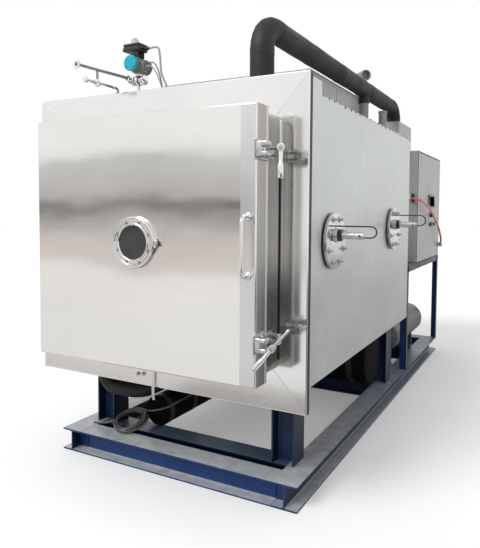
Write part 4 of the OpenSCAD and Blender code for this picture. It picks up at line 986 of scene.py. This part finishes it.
slab(shape, (pipe_x + 62.2, pipe_x + 63.4), (240, 2700), (pipe_top - 4, pipe_top + 4), 0.3)
made("foam_tape_bands", shape, tape)

# Cold trap, vapour duct and drain: a fat foam-lagged condenser barrel across the machine, a foam
# duct forward from it under the chamber, and a lagged drain line across the front. The barrel's
# and duct's foam is near-black with little sheen, as painted shade under the chamber.
trap_x, trap_d, trap_z, trap_r = -500, 1800, 420, 225
shape = bmesh.new()
barrel = [(0, 0), (196, 0), (217, 6), (trap_r, 22)]
for d in range(200, 1200, 200):
    barrel += [(trap_r, d), (223.4, d + 3), (trap_r, d + 6)]
barrel += [(trap_r, 1198), (217, 1214), (196, 1220), (0, 1220)]
turned(shape, barrel, (trap_x, trap_d, trap_z), RIGHT, 0, 64)
turned(shape, solid((120, 560), (120, 766), (110, 766), (110, 600)), (mouth_x, trap_d, 0), UP, 1.5, 40)
for x in (trap_x + 120, trap_x + 1080):
    slab(shape, (x, x + 20), (trap_d - 120, trap_d + 120), (585, 668), 3)
    turned(shape, sleeve(222, 227, -22, 22), (x + 10, trap_d, trap_z), RIGHT, 0.8, 64, 1)
made("trap_barrel", shape, [shade_black_foam, tape], "cold_trap")
shape = bmesh.new()
duct_x, duct_z, duct_r = -300, 236, 98
duct = [(0, 388), (82, 388), (88, 392), (94, 398), (duct_r, 408)]
for d in range(590, 1540, 190):
    duct += [(duct_r, d), (96.6, d + 3), (duct_r, d + 6)]
turned(shape, duct + [(duct_r, 1600), (duct_r, 1632), (0, 1632)], (duct_x, 0, duct_z), REAR, 0, 48)
for d in (430, 700, 1070, 1440):
    turned(shape, sleeve(96, 99, -24, 24), (duct_x, d, duct_z), REAR, 0.6, 48, 1)
made("vapour_duct", shape, [shade_black_foam, tape], "long_duct")
leather_foam = rubber("wrinkled drain lagging", (0.0015, 0.0013, 0.0012), (0.010, 0.008, 0.007),
                      (0.5, 0.75), 0.9, 12)
drain_x, drop_x, drain_d, drain_z, bend_r = -590, -300, 223, 410, 100
route = [(drain_x, drain_d, z) for z in (668, 590, 530)]
route += arc((drain_x + bend_r, drain_d, drain_z + bend_r), bend_r, 180, 270, 6, "xz")
route += [(-445, drain_d, drain_z)]
route += arc((drop_x - bend_r, drain_d + bend_r, drain_z), bend_r, -90, 0, 6, "xd")
route += [(drop_x, d, drain_z) for d in (500, 640, 760)]
hose_line("drain_lagging", route, 25, 93, leather_foam, 0.02, "drain_line", "drain_line")
route = [(drop_x, 773, z) for z in (drain_z + 30, 370, 320)]
hose_line("drain_drop", route, 20, 93, leather_foam, 0.01, "drain_line")

# Roof cover and bare pipes: a folded grey sheet box with a capped lid, a vent with an open cross
# end, a stub under the foam branch and a capped spare.
sheet_grey = enamel("light grey paint", (0.36, 0.36, 0.355), (0.44, 0.44, 0.43), (0.50, 0.50, 0.49),
                    0.5, 0.12)
pipe_grey = enamel("grey pipe paint", grey(0.22), (0.32, 0.32, 0.315), (0.42, 0.42, 0.41), 0.4, 0.2)
shape = bmesh.new()
roof_z = 2120
slab(shape, (-558, 558), (822, 1828), (roof_z, 2404), 3, rows=3)
slab(shape, (-560, 560), (820, 1830), (2398, 2426), 4, rows=3)
for side in (-1, 1):
    x = side * 560
    slab(shape, (x - side * 3, x), (1322, 1328), (2124, 2396), 0.8)
    slab(shape, (x - side * 2, x + side * 16), (826, 1824), (2119, 2123))
    rows = range(870, 1800, 180)
    screws(shape, [(x - side, d, 2412) for d in rows], (side * 2.6, 0, 0), 5, 14)
    screws(shape, [(x + side * 8, d, 2122) for d in rows], (0, 0, 3), 4.5)
screws(shape, [(x, 821, 2412) for x in range(-480, 500, 160)], (0, -2.4, 0), 5, 14)
made("roof_cover", shape, sheet_grey, "roof_housing")
shape = bmesh.new()
turned(shape, solid((58, 0), (58, 6), (39, 8), (39, 260)), (pipe_x, branch_d, roof_z), UP, 0.8, 40)
vent_x, vent_d = 478, 2140
turned(shape, [(0, 0), (56, 0), (56, 6), (39, 8), (39, 480), (0, 520)], (vent_x, vent_d, roof_z), UP,
       0.8, 40)
turned(shape, [(0, -48), (38, -46), (44, -40), (44, 99), (35.5, 99), (35.5, 59), (0, 59)],
       (vent_x, vent_d, 2645), (1, -1, 0), 1.2, 40)
turned(shape, solid((48, 0), (48, 6), (31, 8), (31, 202), (35, 205), (35, 219)), (690, 2060, roof_z),
       UP, 1, 36)
made("bare_roof_pipes", shape, pipe_grey, "roof_pipes")

# Side ports: two short pipe necks closed by polished blind flanges on eight studs. Each carries a
# sensor: a satin foot, a black clamp band, a turned head and a grey tag, with its lead in a hairpin.
port_places = ((345, 1383), (1625, 1413))
flange_face, sensor_up = 911, 30
black_band = rubber("black clamp band", grey(0.008), (0.02, 0.02, 0.021), (0.3, 0.45), 0.1, 40)
lead_rubber = rubber("dark lead sheath", (0.018, 0.018, 0.019), (0.045, 0.045, 0.047), (0.35, 0.5), 0.1)
disc_steel = brushed("faced flange steel", (0.66, 0.66, 0.655), (1.5, 30, 30), (0.10, 0.18), 0.12, 16,
                     0.04)
shape = bmesh.new()
for d, z in port_places:
    turned(shape, [(70, 0), (80, 0), (80, 172), (88, 178), (90, 184), (70, 184), (70, 0)], (718, d, z),
           RIGHT, 0, 56, 1)
    turned(shape, solid((149, 893.5), (150, 895), (150, 901), (149.2, 901.6)), (0, d, z), RIGHT, 0, 72,
           1)
    turned(shape, solid((149.2, 902.4), (150, 903), (150, 909), (148.4, 910.6), (96, 910.6),
                        (95, 909.8), (93, 909.8), (92, 910.8)), (0, d, z), RIGHT, 0, 72)
    for spot in arc((flange_face, d, z), 122, 22.5, 337.5, 7, "dz"):
        bolt(shape, spot, RIGHT, 19.5, 9.5, 2, 11.5, 1)
made("blind_flanges", shape, [disc_steel, clamp_steel], "port_flanges")
shape = bmesh.new()
for d, z in port_places:
    for profile, edge, steps, tint in (
            (solid((38, 0), (38, 7), (33, 9), (33, 12)), 0.8, 44, 2),
            (solid((32, 12), (32, 18), (30.5, 19), (30.5, 23), (32, 24), (32, 30)), 1, 44, 1),
            (solid((16, 30), (20, 34), (20, 96), (18.4, 98), (18.4, 101), (20, 103), (20, 124)),
             0.8, 36, 0),
            (solid((18.5, 124), (18.5, 147), (15, 150)), 1, 36, 3)):
        turned(shape, profile, (flange_face, d, z + sensor_up), RIGHT, edge, steps, tint)
    rod(shape, (1040, d - 17, z + sensor_up), (1040, d - 20, z + sensor_up), 6, 1, 20, 1)
head_chrome = brushed("bright sensor steel", grey(0.74), (2, 2, 2), (0.24, 0.34), 0.04, 40, 0.02)
made("port_sensor_heads", shape, [head_chrome, black_band, satin, clamp_steel], "port_sensors")
for name, (d, z), low, bow, reach in (("front", port_places[0], -10, 29, 185),
                                      ("rear", port_places[1], -5, 36, 178)):
    start, top = z + sensor_up + low, z + sensor_up + low + 2 * bow
    route = [(flange_face + 150, d, start), (flange_face + 164, d, start)]
    route += arc((flange_face + reach, d, start + bow), bow, -90, 90, 10, "xz")
    route += [(flange_face + reach - 40 * k, d, top) for k in range(1, round(reach / 40))]
    route += [(flange_face, d, top)]
    round_line("sensor_lead_" + name, route, 8, 8, lead_rubber, "frame", "sensor_cables",
               *(["sensor_cables"] if name == "front" else []))

# Steam inlet: a sample line with a white ferrule, a small valve with its knob, and an actuated
# ball valve with teal end caps, under a black switch box with a clear indicator dome.
dark_steel = brushed("stained tube steel", (0.34, 0.335, 0.33), (6, 6, 6), (0.2, 0.32), 0.15, 40, 0.05)
white_ptfe = enamel("white ferrule plastic", (0.72, 0.72, 0.71), (0.80, 0.80, 0.79), (0.8, 0.8, 0.79),
                    0.1, 0)
inlet_x, inlet_z = -340, 2315
valve_x, valve_d, valve_z = -252, 150, 2386
small_x, small_d, small_z = -329.2, -112, 2243
tube_end = Vector((valve_x - 60, valve_d - 24, inlet_z))
ferrule = Vector((inlet_x, -262, inlet_z))
aim = (tube_end - ferrule).normalized()
shape = bmesh.new()
turned(shape, [(11, 0), (22, 0), (24, 2), (24, 6), (19, 12), (12, 14), (8, 14), (8, 10), (11, 10),
               (11, 0)], ferrule, aim, 0.5, 44, 1)
turned(shape, disc(10.9, 9, 10.4), ferrule, aim, 0, 28, 2)
rod(shape, ferrule + aim * 12, tube_end, 8.5, 0.3, 28)
rod(shape, (small_x, small_d, inlet_z - 64), (small_x, small_d, inlet_z - 6), 7, 1, 24)
turned(shape, solid((12, 0), (16, 4), (16, 13), (14, 15), (14, 25), (16, 27), (16, 36), (12, 40)),
       (small_x, small_d, inlet_z - 92), UP, 0.5, 6, 3)
turned(shape, [(4.3, 0), (9, 0), (10, 1), (10, 12), (8.6, 14), (8.6, 17), (10, 19), (10, 44), (4.3, 44),
               (4.3, 0)], (small_x, small_d - 44, small_z), REAR, 0, 32, 3)
bend = arc((small_x, 42, small_z - 18), 18, 90, 0, 5, "dz")
route = [(small_x, small_d + 4, small_z), (small_x, -40, small_z), (small_x, 10, small_z)] + bend
round_line("inlet_drop_tube", route + [(small_x, 60, 2200), (small_x, 60, collar_top)], 6, 14,
           dark_steel, "frame", "inlet_pipe", sides=6)
for d in (small_d + 22, 14):
    turned(shape, disc(10, 0, 16), (small_x, d, small_z), REAR, 1, 6, 3)
turned(shape, solid((10, 0), (12.5, 4), (12.9, 13), (12.5, 22), (10, 26)),
       tube_end - Vector((0, 0, 13)), UP, 0, 32)
rod(shape, tube_end + Vector((4, 0, 0)), tube_end + Vector((14, 0, 0)), 8.4, 0.5, 28)
turned(shape, solid((16, 0), (16, 5), (10, 5), (10, 12)), (small_x, 60, collar_top), UP, 0.8, 32)
made("inlet_line", shape, [dark_steel, white_ptfe, black_band, bright_steel], "inlet_pipe")
shape = bmesh.new()
knob_d = small_d - 99
turned(shape, solid((8, 0), (15, 1), (16, 3), (16, 11), (14, 13), (6, 14), (4, 16), (4, 77)),
       (small_x, knob_d, small_z), REAR, 0.4, 36)
for angle in range(0, 360, 30):
    slab(shape, (15.2, 17.9), (0.8, 12.4), (-2.4, 2.4), 0.8,
         Matrix.Translation((small_x, knob_d, small_z)) @ Matrix.Rotation(math.radians(angle), 4, "Y"))
turned(shape, solid((8, 25), (8, 32), (6.6, 34), (6.6, 44), (8, 46), (8, 51)),
       (small_x, knob_d, small_z), REAR, 0.3, 28)
made("inlet_knob_stem", shape, bright_steel, "inlet_valve_knob", body="inlet_knob")
shape = bmesh.new()
turned(shape, solid((37, 0), (37, 9), (20, 10), (17, 13), (17, 60), (11, 62), (11, 174)),
       (valve_x, valve_d, collar_top), UP, 0.8, 40)
for angle in range(45, 360, 90):
    turn = math.radians(angle)
    bolt(shape, (valve_x + 29 * math.cos(turn), valve_d + 29 * math.sin(turn), collar_top + 9), UP, 8,
         4, 1)
body_z = inlet_z - 17
turned(shape, solid((25, -42), (26, -39), (26, -9), (31, -8), (31, 8), (26, 9), (26, 38), (29, 40),
                    (29, 50)), (valve_x, valve_d, body_z), RIGHT, 0.8, 44)
for low in (-20, 12):
    turned(shape, sleeve(20, 27.5, low, low + 5), (valve_x, valve_d, body_z), RIGHT, 0.4, 44, 1)
turned(shape, disc(18, -46, -40), (valve_x, valve_d - 24, body_z), RIGHT, 0.8, 32)
for x, d, z in arc((valve_x, valve_d, body_z), 28, 45, 315, 3, "dz"):
    rod(shape, (x - 12, d, z), (x + 12, d, z), 2.6, 0.5, 12)
made("steam_ball_valve", shape, [bright_steel, black_band], "steam_valve")
teal = enamel("teal end cap", (0.006, 0.36, 0.48), (0.012, 0.47, 0.58), (0.10, 0.55, 0.62), 0.2, 0.1)
cast_grey = enamel("cast actuator grey", (0.16, 0.165, 0.17), (0.24, 0.245, 0.25), grey(0.34), 0.4, 0.1)
shape = bmesh.new()
centre = (valve_x, valve_d, valve_z)
turned(shape, solid((43, -62), (43, -56), (41.5, -54), (41.5, 54), (43, 56), (43, 62)), centre, REAR,
       0.8, 48)
for angle in range(15, 360, 30):
    slab(shape, (41, 43), (-52, 52), (-2, 2), 0.6,
         Matrix.Translation(centre) @ Matrix.Rotation(math.radians(angle), 4, "Y"))
turned(shape, solid((31, -38), (33, -35), (33, 56), (31, 60)), (valve_x, valve_d, valve_z - 6), RIGHT,
       0.8, 40)
turned(shape, disc(27, -46, -32), centre, UP, 0.8, 40)
for side, tint in ((-1, 1), (1, 0)):
    cap = solid((45, 62), (45, 66), (45, 76), (41, 80))
    turned(shape, [(r, side * d) for r, d in cap], centre, REAR, 0.6, 48, tint)
    screws(shape, arc((valve_x, valve_d + side * 78, valve_z), 34, 45, 315, 3, "xz"), (0, side * 2, 0),
           4, 16, 2, 0.6)
made("teal_capped_actuator", shape, [cast_grey, teal, satin], "valve_actuator")
box_black = rubber("black box moulding", (0.008, 0.008, 0.0085), (0.022, 0.022, 0.023), (0.3, 0.45),
                   0.12)
clear, tree, shader = new_material("clear dome plastic")
fill(tree, shader, Transmission_Weight=0.55, Roughness=greys(tree, noise(tree, 60, 3), 0.04, 0.12),
     Base_Color=ramp(tree, noise(tree, 30, 3), (0.3, (0.70, 0.72, 0.71)), (0.7, (0.82, 0.84, 0.83))))
shape = bmesh.new()
box_x = valve_x - 23
for out, near, low, high, edge in ((0, 44, 77, 106, 9), (2, 42, 105, 123, 8)):
    slab(shape, (box_x - 58 + out, box_x + 62 - out), (valve_d - near, valve_d + near),
         (valve_z + low, valve_z + high), edge, rows=4)
for side in (-1, 1):
    turned(shape, solid((12, 43), (12, 46), (8.5, 48), (8.5, 89)),
           (valve_x, valve_d + side * 30, valve_z), UP, 0.6, 28)
    slab(shape, (valve_x - 24, valve_x + 20), (valve_d + side * 24, valve_d + side * 33),
         (valve_z + 42, valve_z + 84), 2)
    screws(shape, [(box_x + x, valve_d + side * 33, valve_z + 122) for x in (-46, 48)], (0, 0, 3), 4,
           16, 1)
turned(shape, solid((8, -90), (10, -87), (10, -78), (8, -76), (8, -56)),
       (box_x, valve_d, valve_z + 101), RIGHT, 0.6, 24)
turned(shape, solid((11, 60), (11, 76), (9, 78), (9, 82), (11, 84), (11, 96), (7, 108)),
       (box_x, valve_d, valve_z + 91), RIGHT, 0.5, 6, 0)
turned(shape, [(0, 123), (22.6, 123), (22.6, 145), (20, 153), (10, 160.6), (0, 161)],
       (box_x, valve_d, valve_z), UP, 0.6, 40, 2)
made("valve_switch_box", shape, [box_black, satin, clear, cast_grey], "switch_box")
grey_sheath = rubber("light grey conduit", (0.30, 0.30, 0.31), (0.42, 0.42, 0.43), (0.4, 0.55), 0.15)
blue_tube = rubber("pale blue tube", (0.24, 0.36, 0.50), (0.34, 0.44, 0.56), (0.25, 0.35), 0.05)
pink_tube = rubber("dull pink tube", (0.30, 0.12, 0.12), (0.42, 0.18, 0.17), (0.25, 0.35), 0.05)
for name, width, material, route in (
        ("conduit", 12, grey_sheath, [(-167, 150, 2477), (-132, 150, 2478), (-104, 150, 2466),
                                      (-94, 152, 2400), (-90, 156, 2330), (-62, 162, 2262),
                                      (-46, 164, 2220), (-46, 164, 2185)]),
        ("tube_front", 8, blue_tube, [(-192, 140, 2372), (-150, 140, 2370), (-112, 140, 2326),
                                      (-84, 142, 2262), (-70, 144, 2215), (-70, 144, 2185)]),
        ("tube_rear", 8, pink_tube, [(-192, 158, 2394), (-146, 158, 2393), (-112, 158, 2344),
                                     (-88, 158, 2262), (-76, 158, 2215), (-76, 158, 2185)])):
    round_line("valve_" + name, route, 8, width, material, "frame", "valve_hoses",
               *(["valve_hoses"] if name == "conduit" else []))

# Receiver tank: a welded steel pressure tank with dished ends under the cabinet, on two saddles,
# in dull grey-green paint under a film of dust.
tank_paint = enamel("dull tank paint", (0.060, 0.066, 0.060), (0.105, 0.110, 0.100), (0.22, 0.22, 0.21),
                    0.5, 0.15)
tank_x, tank_z, tank_r = 590, 416, 150
deck = 136.3
shape = bmesh.new()
tank_start, tank_end, dish_depth = 2450, 6090 - 2450, 70
profile = [(0, tank_start)]
for k in range(1, 11):
    turn = math.radians(9 * k)
    profile.append((tank_r * math.sin(turn), tank_start + dish_depth * (1 - math.cos(turn))))
seams = []
for d in (2523, 3044, 3555):
    seams += [(148.7, d), (149.9, d + 3), (149.9, d + 9), (148.7, d + 12)]
turned(shape, [(min(r, 149.6), d) for r, d in profile] + seams + [(r, tank_start + tank_end - d) for r,
                                                                  d in reversed(profile)],
       (tank_x, 0, tank_z), REAR, 0, 64)
for d in (2597, 3450):
    slab(shape, (tank_x - 120, tank_x + 76), (d - 8, d + 8), (146, 290), 1.5)
    slab(shape, (tank_x - 120, tank_x + 76), (d - 50, d + 50), (deck, 146), 1.5)
    for x in (-100, 56):
        for out in (-32, 32):
            bolt(shape, (tank_x + x, d + out, 146), UP, 17, 8, 2, 6)
made("air_receiver", shape, tank_paint, "receiver_tank")

# Refrigeration housing: a folded grey sheet enclosure with cover panels on the sides, louvres at the
# back and a header box on top that the foam pipe drops into.
shape = bmesh.new()
slab(shape, (-740, 340), (2519, 3969), (deck, 2110), 4, rows=3)
panel_heights = ((170, 1100), (1115, 2070))
for x, side in ((-740, -1), (340, 1)):
    for d0, d1 in ((2545, 3235), (3250, 3943)):
        for z0, z1 in panel_heights:
            slab(shape, (x - side * 2, x + side * 1.5), (d0, d1), (z0, z1))
        screws(shape, [(x, d, z) for d in (d0 + 25, d1 - 25) for z in (195, 640, 1075, 1140, 1600,
                                                                       2045)], (side * 3, 0, 0), tint=1)
for z in range(300, 1000, 55):
    slab(shape, (-560, 160), (3967, 3972), (z, z + 30), 2)
for z0, z1 in panel_heights:
    slab(shape, (-660, 260), (2517.4, 2521), (z0, z1))
slab(shape, (-260, 657), (2760, 3270), (2109, 2361), 4, rows=3)
slab(shape, (655.5, 658.2), (2790, 3240), (2135, 2335))
screws(shape, [(657, d, z) for d in (2810, 3220) for z in (2155, 2315)], (2.8, 0, 0), tint=1)
made("refrigeration_cover", shape, [sheet_grey, satin], "refrigeration_housing")

# Control cabinet: a grey wall box on a blue angle-iron stand, its cover towards the right. The meter
# is a framed display, over a rotary switch and two push buttons. A clear red hose leaves its front
# and ends in a clip on the cover.
shape = bmesh.new()
post, thick = 57, 6
stand_x0, stand_x1, stand_d0, stand_d1 = 364, 814, 2523, 4029
cover_face = 814
for d, along_d in ((stand_d0, 1), (stand_d1, -1)):
    for x, along_x in ((stand_x1, -1), (stand_x0, 1)):
        slab(shape, (x, x + along_x * post), (d, d + along_d * thick), (deck, 1054), 1.2)
        slab(shape, (x, x + along_x * thick), (d, d + along_d * post), (deck, 1054), 1.2)
for x, along_x in ((stand_x0, 1), (stand_x1, -1)):
    slab(shape, (x, x + along_x * thick), (2523.5, 4040.5), (1000, 1054.5), 1.2)
    slab(shape, (x, x + along_x * post), (2523.5, 4040.5), (1049, 1054.7), 1.2)
for d in (2523.3, 2927, 4034.6):
    slab(shape, (365, 813), (d, d + 6), (1001, 1054.3), 1.2)
for d in (2551, 4001):
    for x, side in ((stand_x0, -1), (stand_x1, 1)):
        for z in (1018, 1038):
            bolt(shape, (x - side * 2, d, z), (side, 0, 0), 13, 6, 1.5, 0)
made("angle_stand", shape, blue, "cabinet_stand")
box_grey = enamel("cabinet powder coat", (0.385, 0.39, 0.385), (0.43, 0.43, 0.425), (0.46, 0.46, 0.455),
                  0.4, 0.06)
shape = bmesh.new()
slab(shape, (364, 807), (2907, 4041), (1055, 2100), 5, rows=3)
slab(shape, (756, 778), (2877.3, 2909), (1620, 1700), 3, tint=1)
slab(shape, (700, 745), (2903, 2908), (1650, 1700), 1.5, tint=2)
made("cabinet_shell", shape, [box_grey, box_black, white_ptfe], "cabinet_body")
edge_dark = rubber("dark cover gasket", grey(0.03), grey(0.07), (0.5, 0.7), 0.1, 40)
shape = bmesh.new()
slab(shape, (806.5, 809.5), (2909, 4039), (1057, 2098), 0.6, tint=1)
slab(shape, (808.4, 813.6), (2911, 2957), (1059, 2083), 1.8, tint=2)
slab(shape, (808.4, 813.9), (2960, 4037), (1059, 2083), 1.8)
for z in (1120, 1590, 2040):
    rod(shape, (812, 2933, z), (814.2, 2933, z), 7, 0.8, 20, 3)
    slab(shape, (813.6, 814.6), (2931.5, 2934.5), (z - 5, z + 5), 0.2, tint=1)
cover_light = enamel("cabinet edge paint", (0.47, 0.47, 0.465), (0.52, 0.52, 0.515),
                     (0.55, 0.55, 0.545), 0.3, 0.05)
made("cabinet_lid", shape, [box_grey, edge_dark, cover_light, satin], "cabinet_cover")
frame_grey = rubber("meter frame plastic", (0.10, 0.105, 0.11), (0.16, 0.165, 0.17), (0.3, 0.45), 0.1)
screen, tree, shader = new_material("meter window")
height = add_node(tree, "ShaderNodeSeparateXYZ", stretched(tree)).outputs["Z"]
height = add_node(tree, "ShaderNodeMapRange", Value=height, From_Min=1.590, From_Max=1.682)
scale_lines = add_node(tree, "ShaderNodeTexWave", wave_type="BANDS", bands_direction="Y",
                       Vector=stretched(tree), Scale=9.0, Distortion=0.2)
pale = ramp(tree, scale_lines.outputs["Fac"], (0.15, (0.16, 0.17, 0.18)), (0.4, (0.52, 0.53, 0.53)))
upper = greys(tree, height.outputs["Result"], 0, 1, 0.42, 0.50)
fill(tree, shader, Base_Color=blended(tree, upper, pale, (0.022, 0.026, 0.030)), Coat_Weight=0.2,
     Roughness=greys(tree, noise(tree, 20, 3), 0.10, 0.22))
shape = bmesh.new()
framed(shape, [(3395, 3675, 1568, 1704, 6, 0), (3395, 3675, 1568, 1704, 6, 12),
               (3398, 3672, 1571, 1701, 5, 14), (3421, 3649, 1587, 1685, 3, 14),
               (3425, 3645, 1590, 1682, 2, 8.4), (3425, 3645, 1590, 1682, 2, 0),
               (3395, 3675, 1568, 1704, 6, 0)], 5)
slab(shape, (3423, 3647), (0, 8.6), (1588, 1684), 0.5, tint=1)
for x in (3407, 3663):
    for z in (1580, 1692):
        rod(shape, (x, 13, z), (x, 14.0, z), 4, 0.3, 14, 2)
outward = Matrix(((0, 1, 0, cover_face), (1, 0, 0, 0), (0, 0, 1, 0), (0, 0, 0, 1)))
bmesh.ops.transform(shape, matrix=outward, verts=shape.verts)
bmesh.ops.recalc_face_normals(shape, faces=shape.faces)
made("display_meter", shape, [frame_grey, screen, satin], "panel_meter")
shape = bmesh.new()
turned(shape, solid((11, -18), (11, 0.5), (24, 0.5), (24, 5), (21, 9), (18, 10)),
       (cover_face, 3515, 1500), RIGHT, 0.5, 44)
slab(shape, (823, 840), (3509, 3521), (1476, 1524), 3, rows=3)
slab(shape, (839, 840.1), (3514, 3516), (1502, 1521), 0.3, tint=1)
made("rotary_handle", shape, [box_black, cover_light], "selector_switch", body="selector")
grey_cap = rubber("grey button cap", (0.16, 0.16, 0.165), (0.24, 0.24, 0.245), (0.3, 0.45), 0.1)
for name, body, node, d, cap in (("left", "black_button", "push_button_black", 3500, box_black),
                                 ("right", "grey_button", "push_button_grey", 3700, grey_cap)):
    shape = bmesh.new()
    turned(shape, [(0, -20), (11, -20), (11, 6), (20, 6), (22, 8), (22, 15), (20, 19), (15, 19.8),
                   (0, 18.6)], (cover_face, d, 1405), RIGHT, 0.4, 40)
    made("button_cap_" + name, shape, cap, node, body=body)
hose_red = rubber("translucent red hose", (0.50, 0.085, 0.070), (0.78, 0.22, 0.185), (0.22, 0.34), 0.1,
                  40)
hose_run = [(767, 2877, 1655), (768, 2850, 1655), (795, 2832, 1650), (838, 2855, 1640),
            (858, 2920, 1624), (862, 3036, 1600), (862, 3234, 1560), (862, 3394, 1505),
            (862, 3622, 1420), (860, 3805, 1330), (856, 3935, 1240), (842, 4000, 1180)]
round_line("red_hose_pair", hose_run, 10, 21, hose_red, "frame", "red_hose", "red_hose", sides=7)
shape = bmesh.new()
slab(shape, (cover_face, 856), (3998.5, 4026), (1150, 1194), 4, rows=3)
made("hose_clip", shape, box_grey)

low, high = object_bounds()
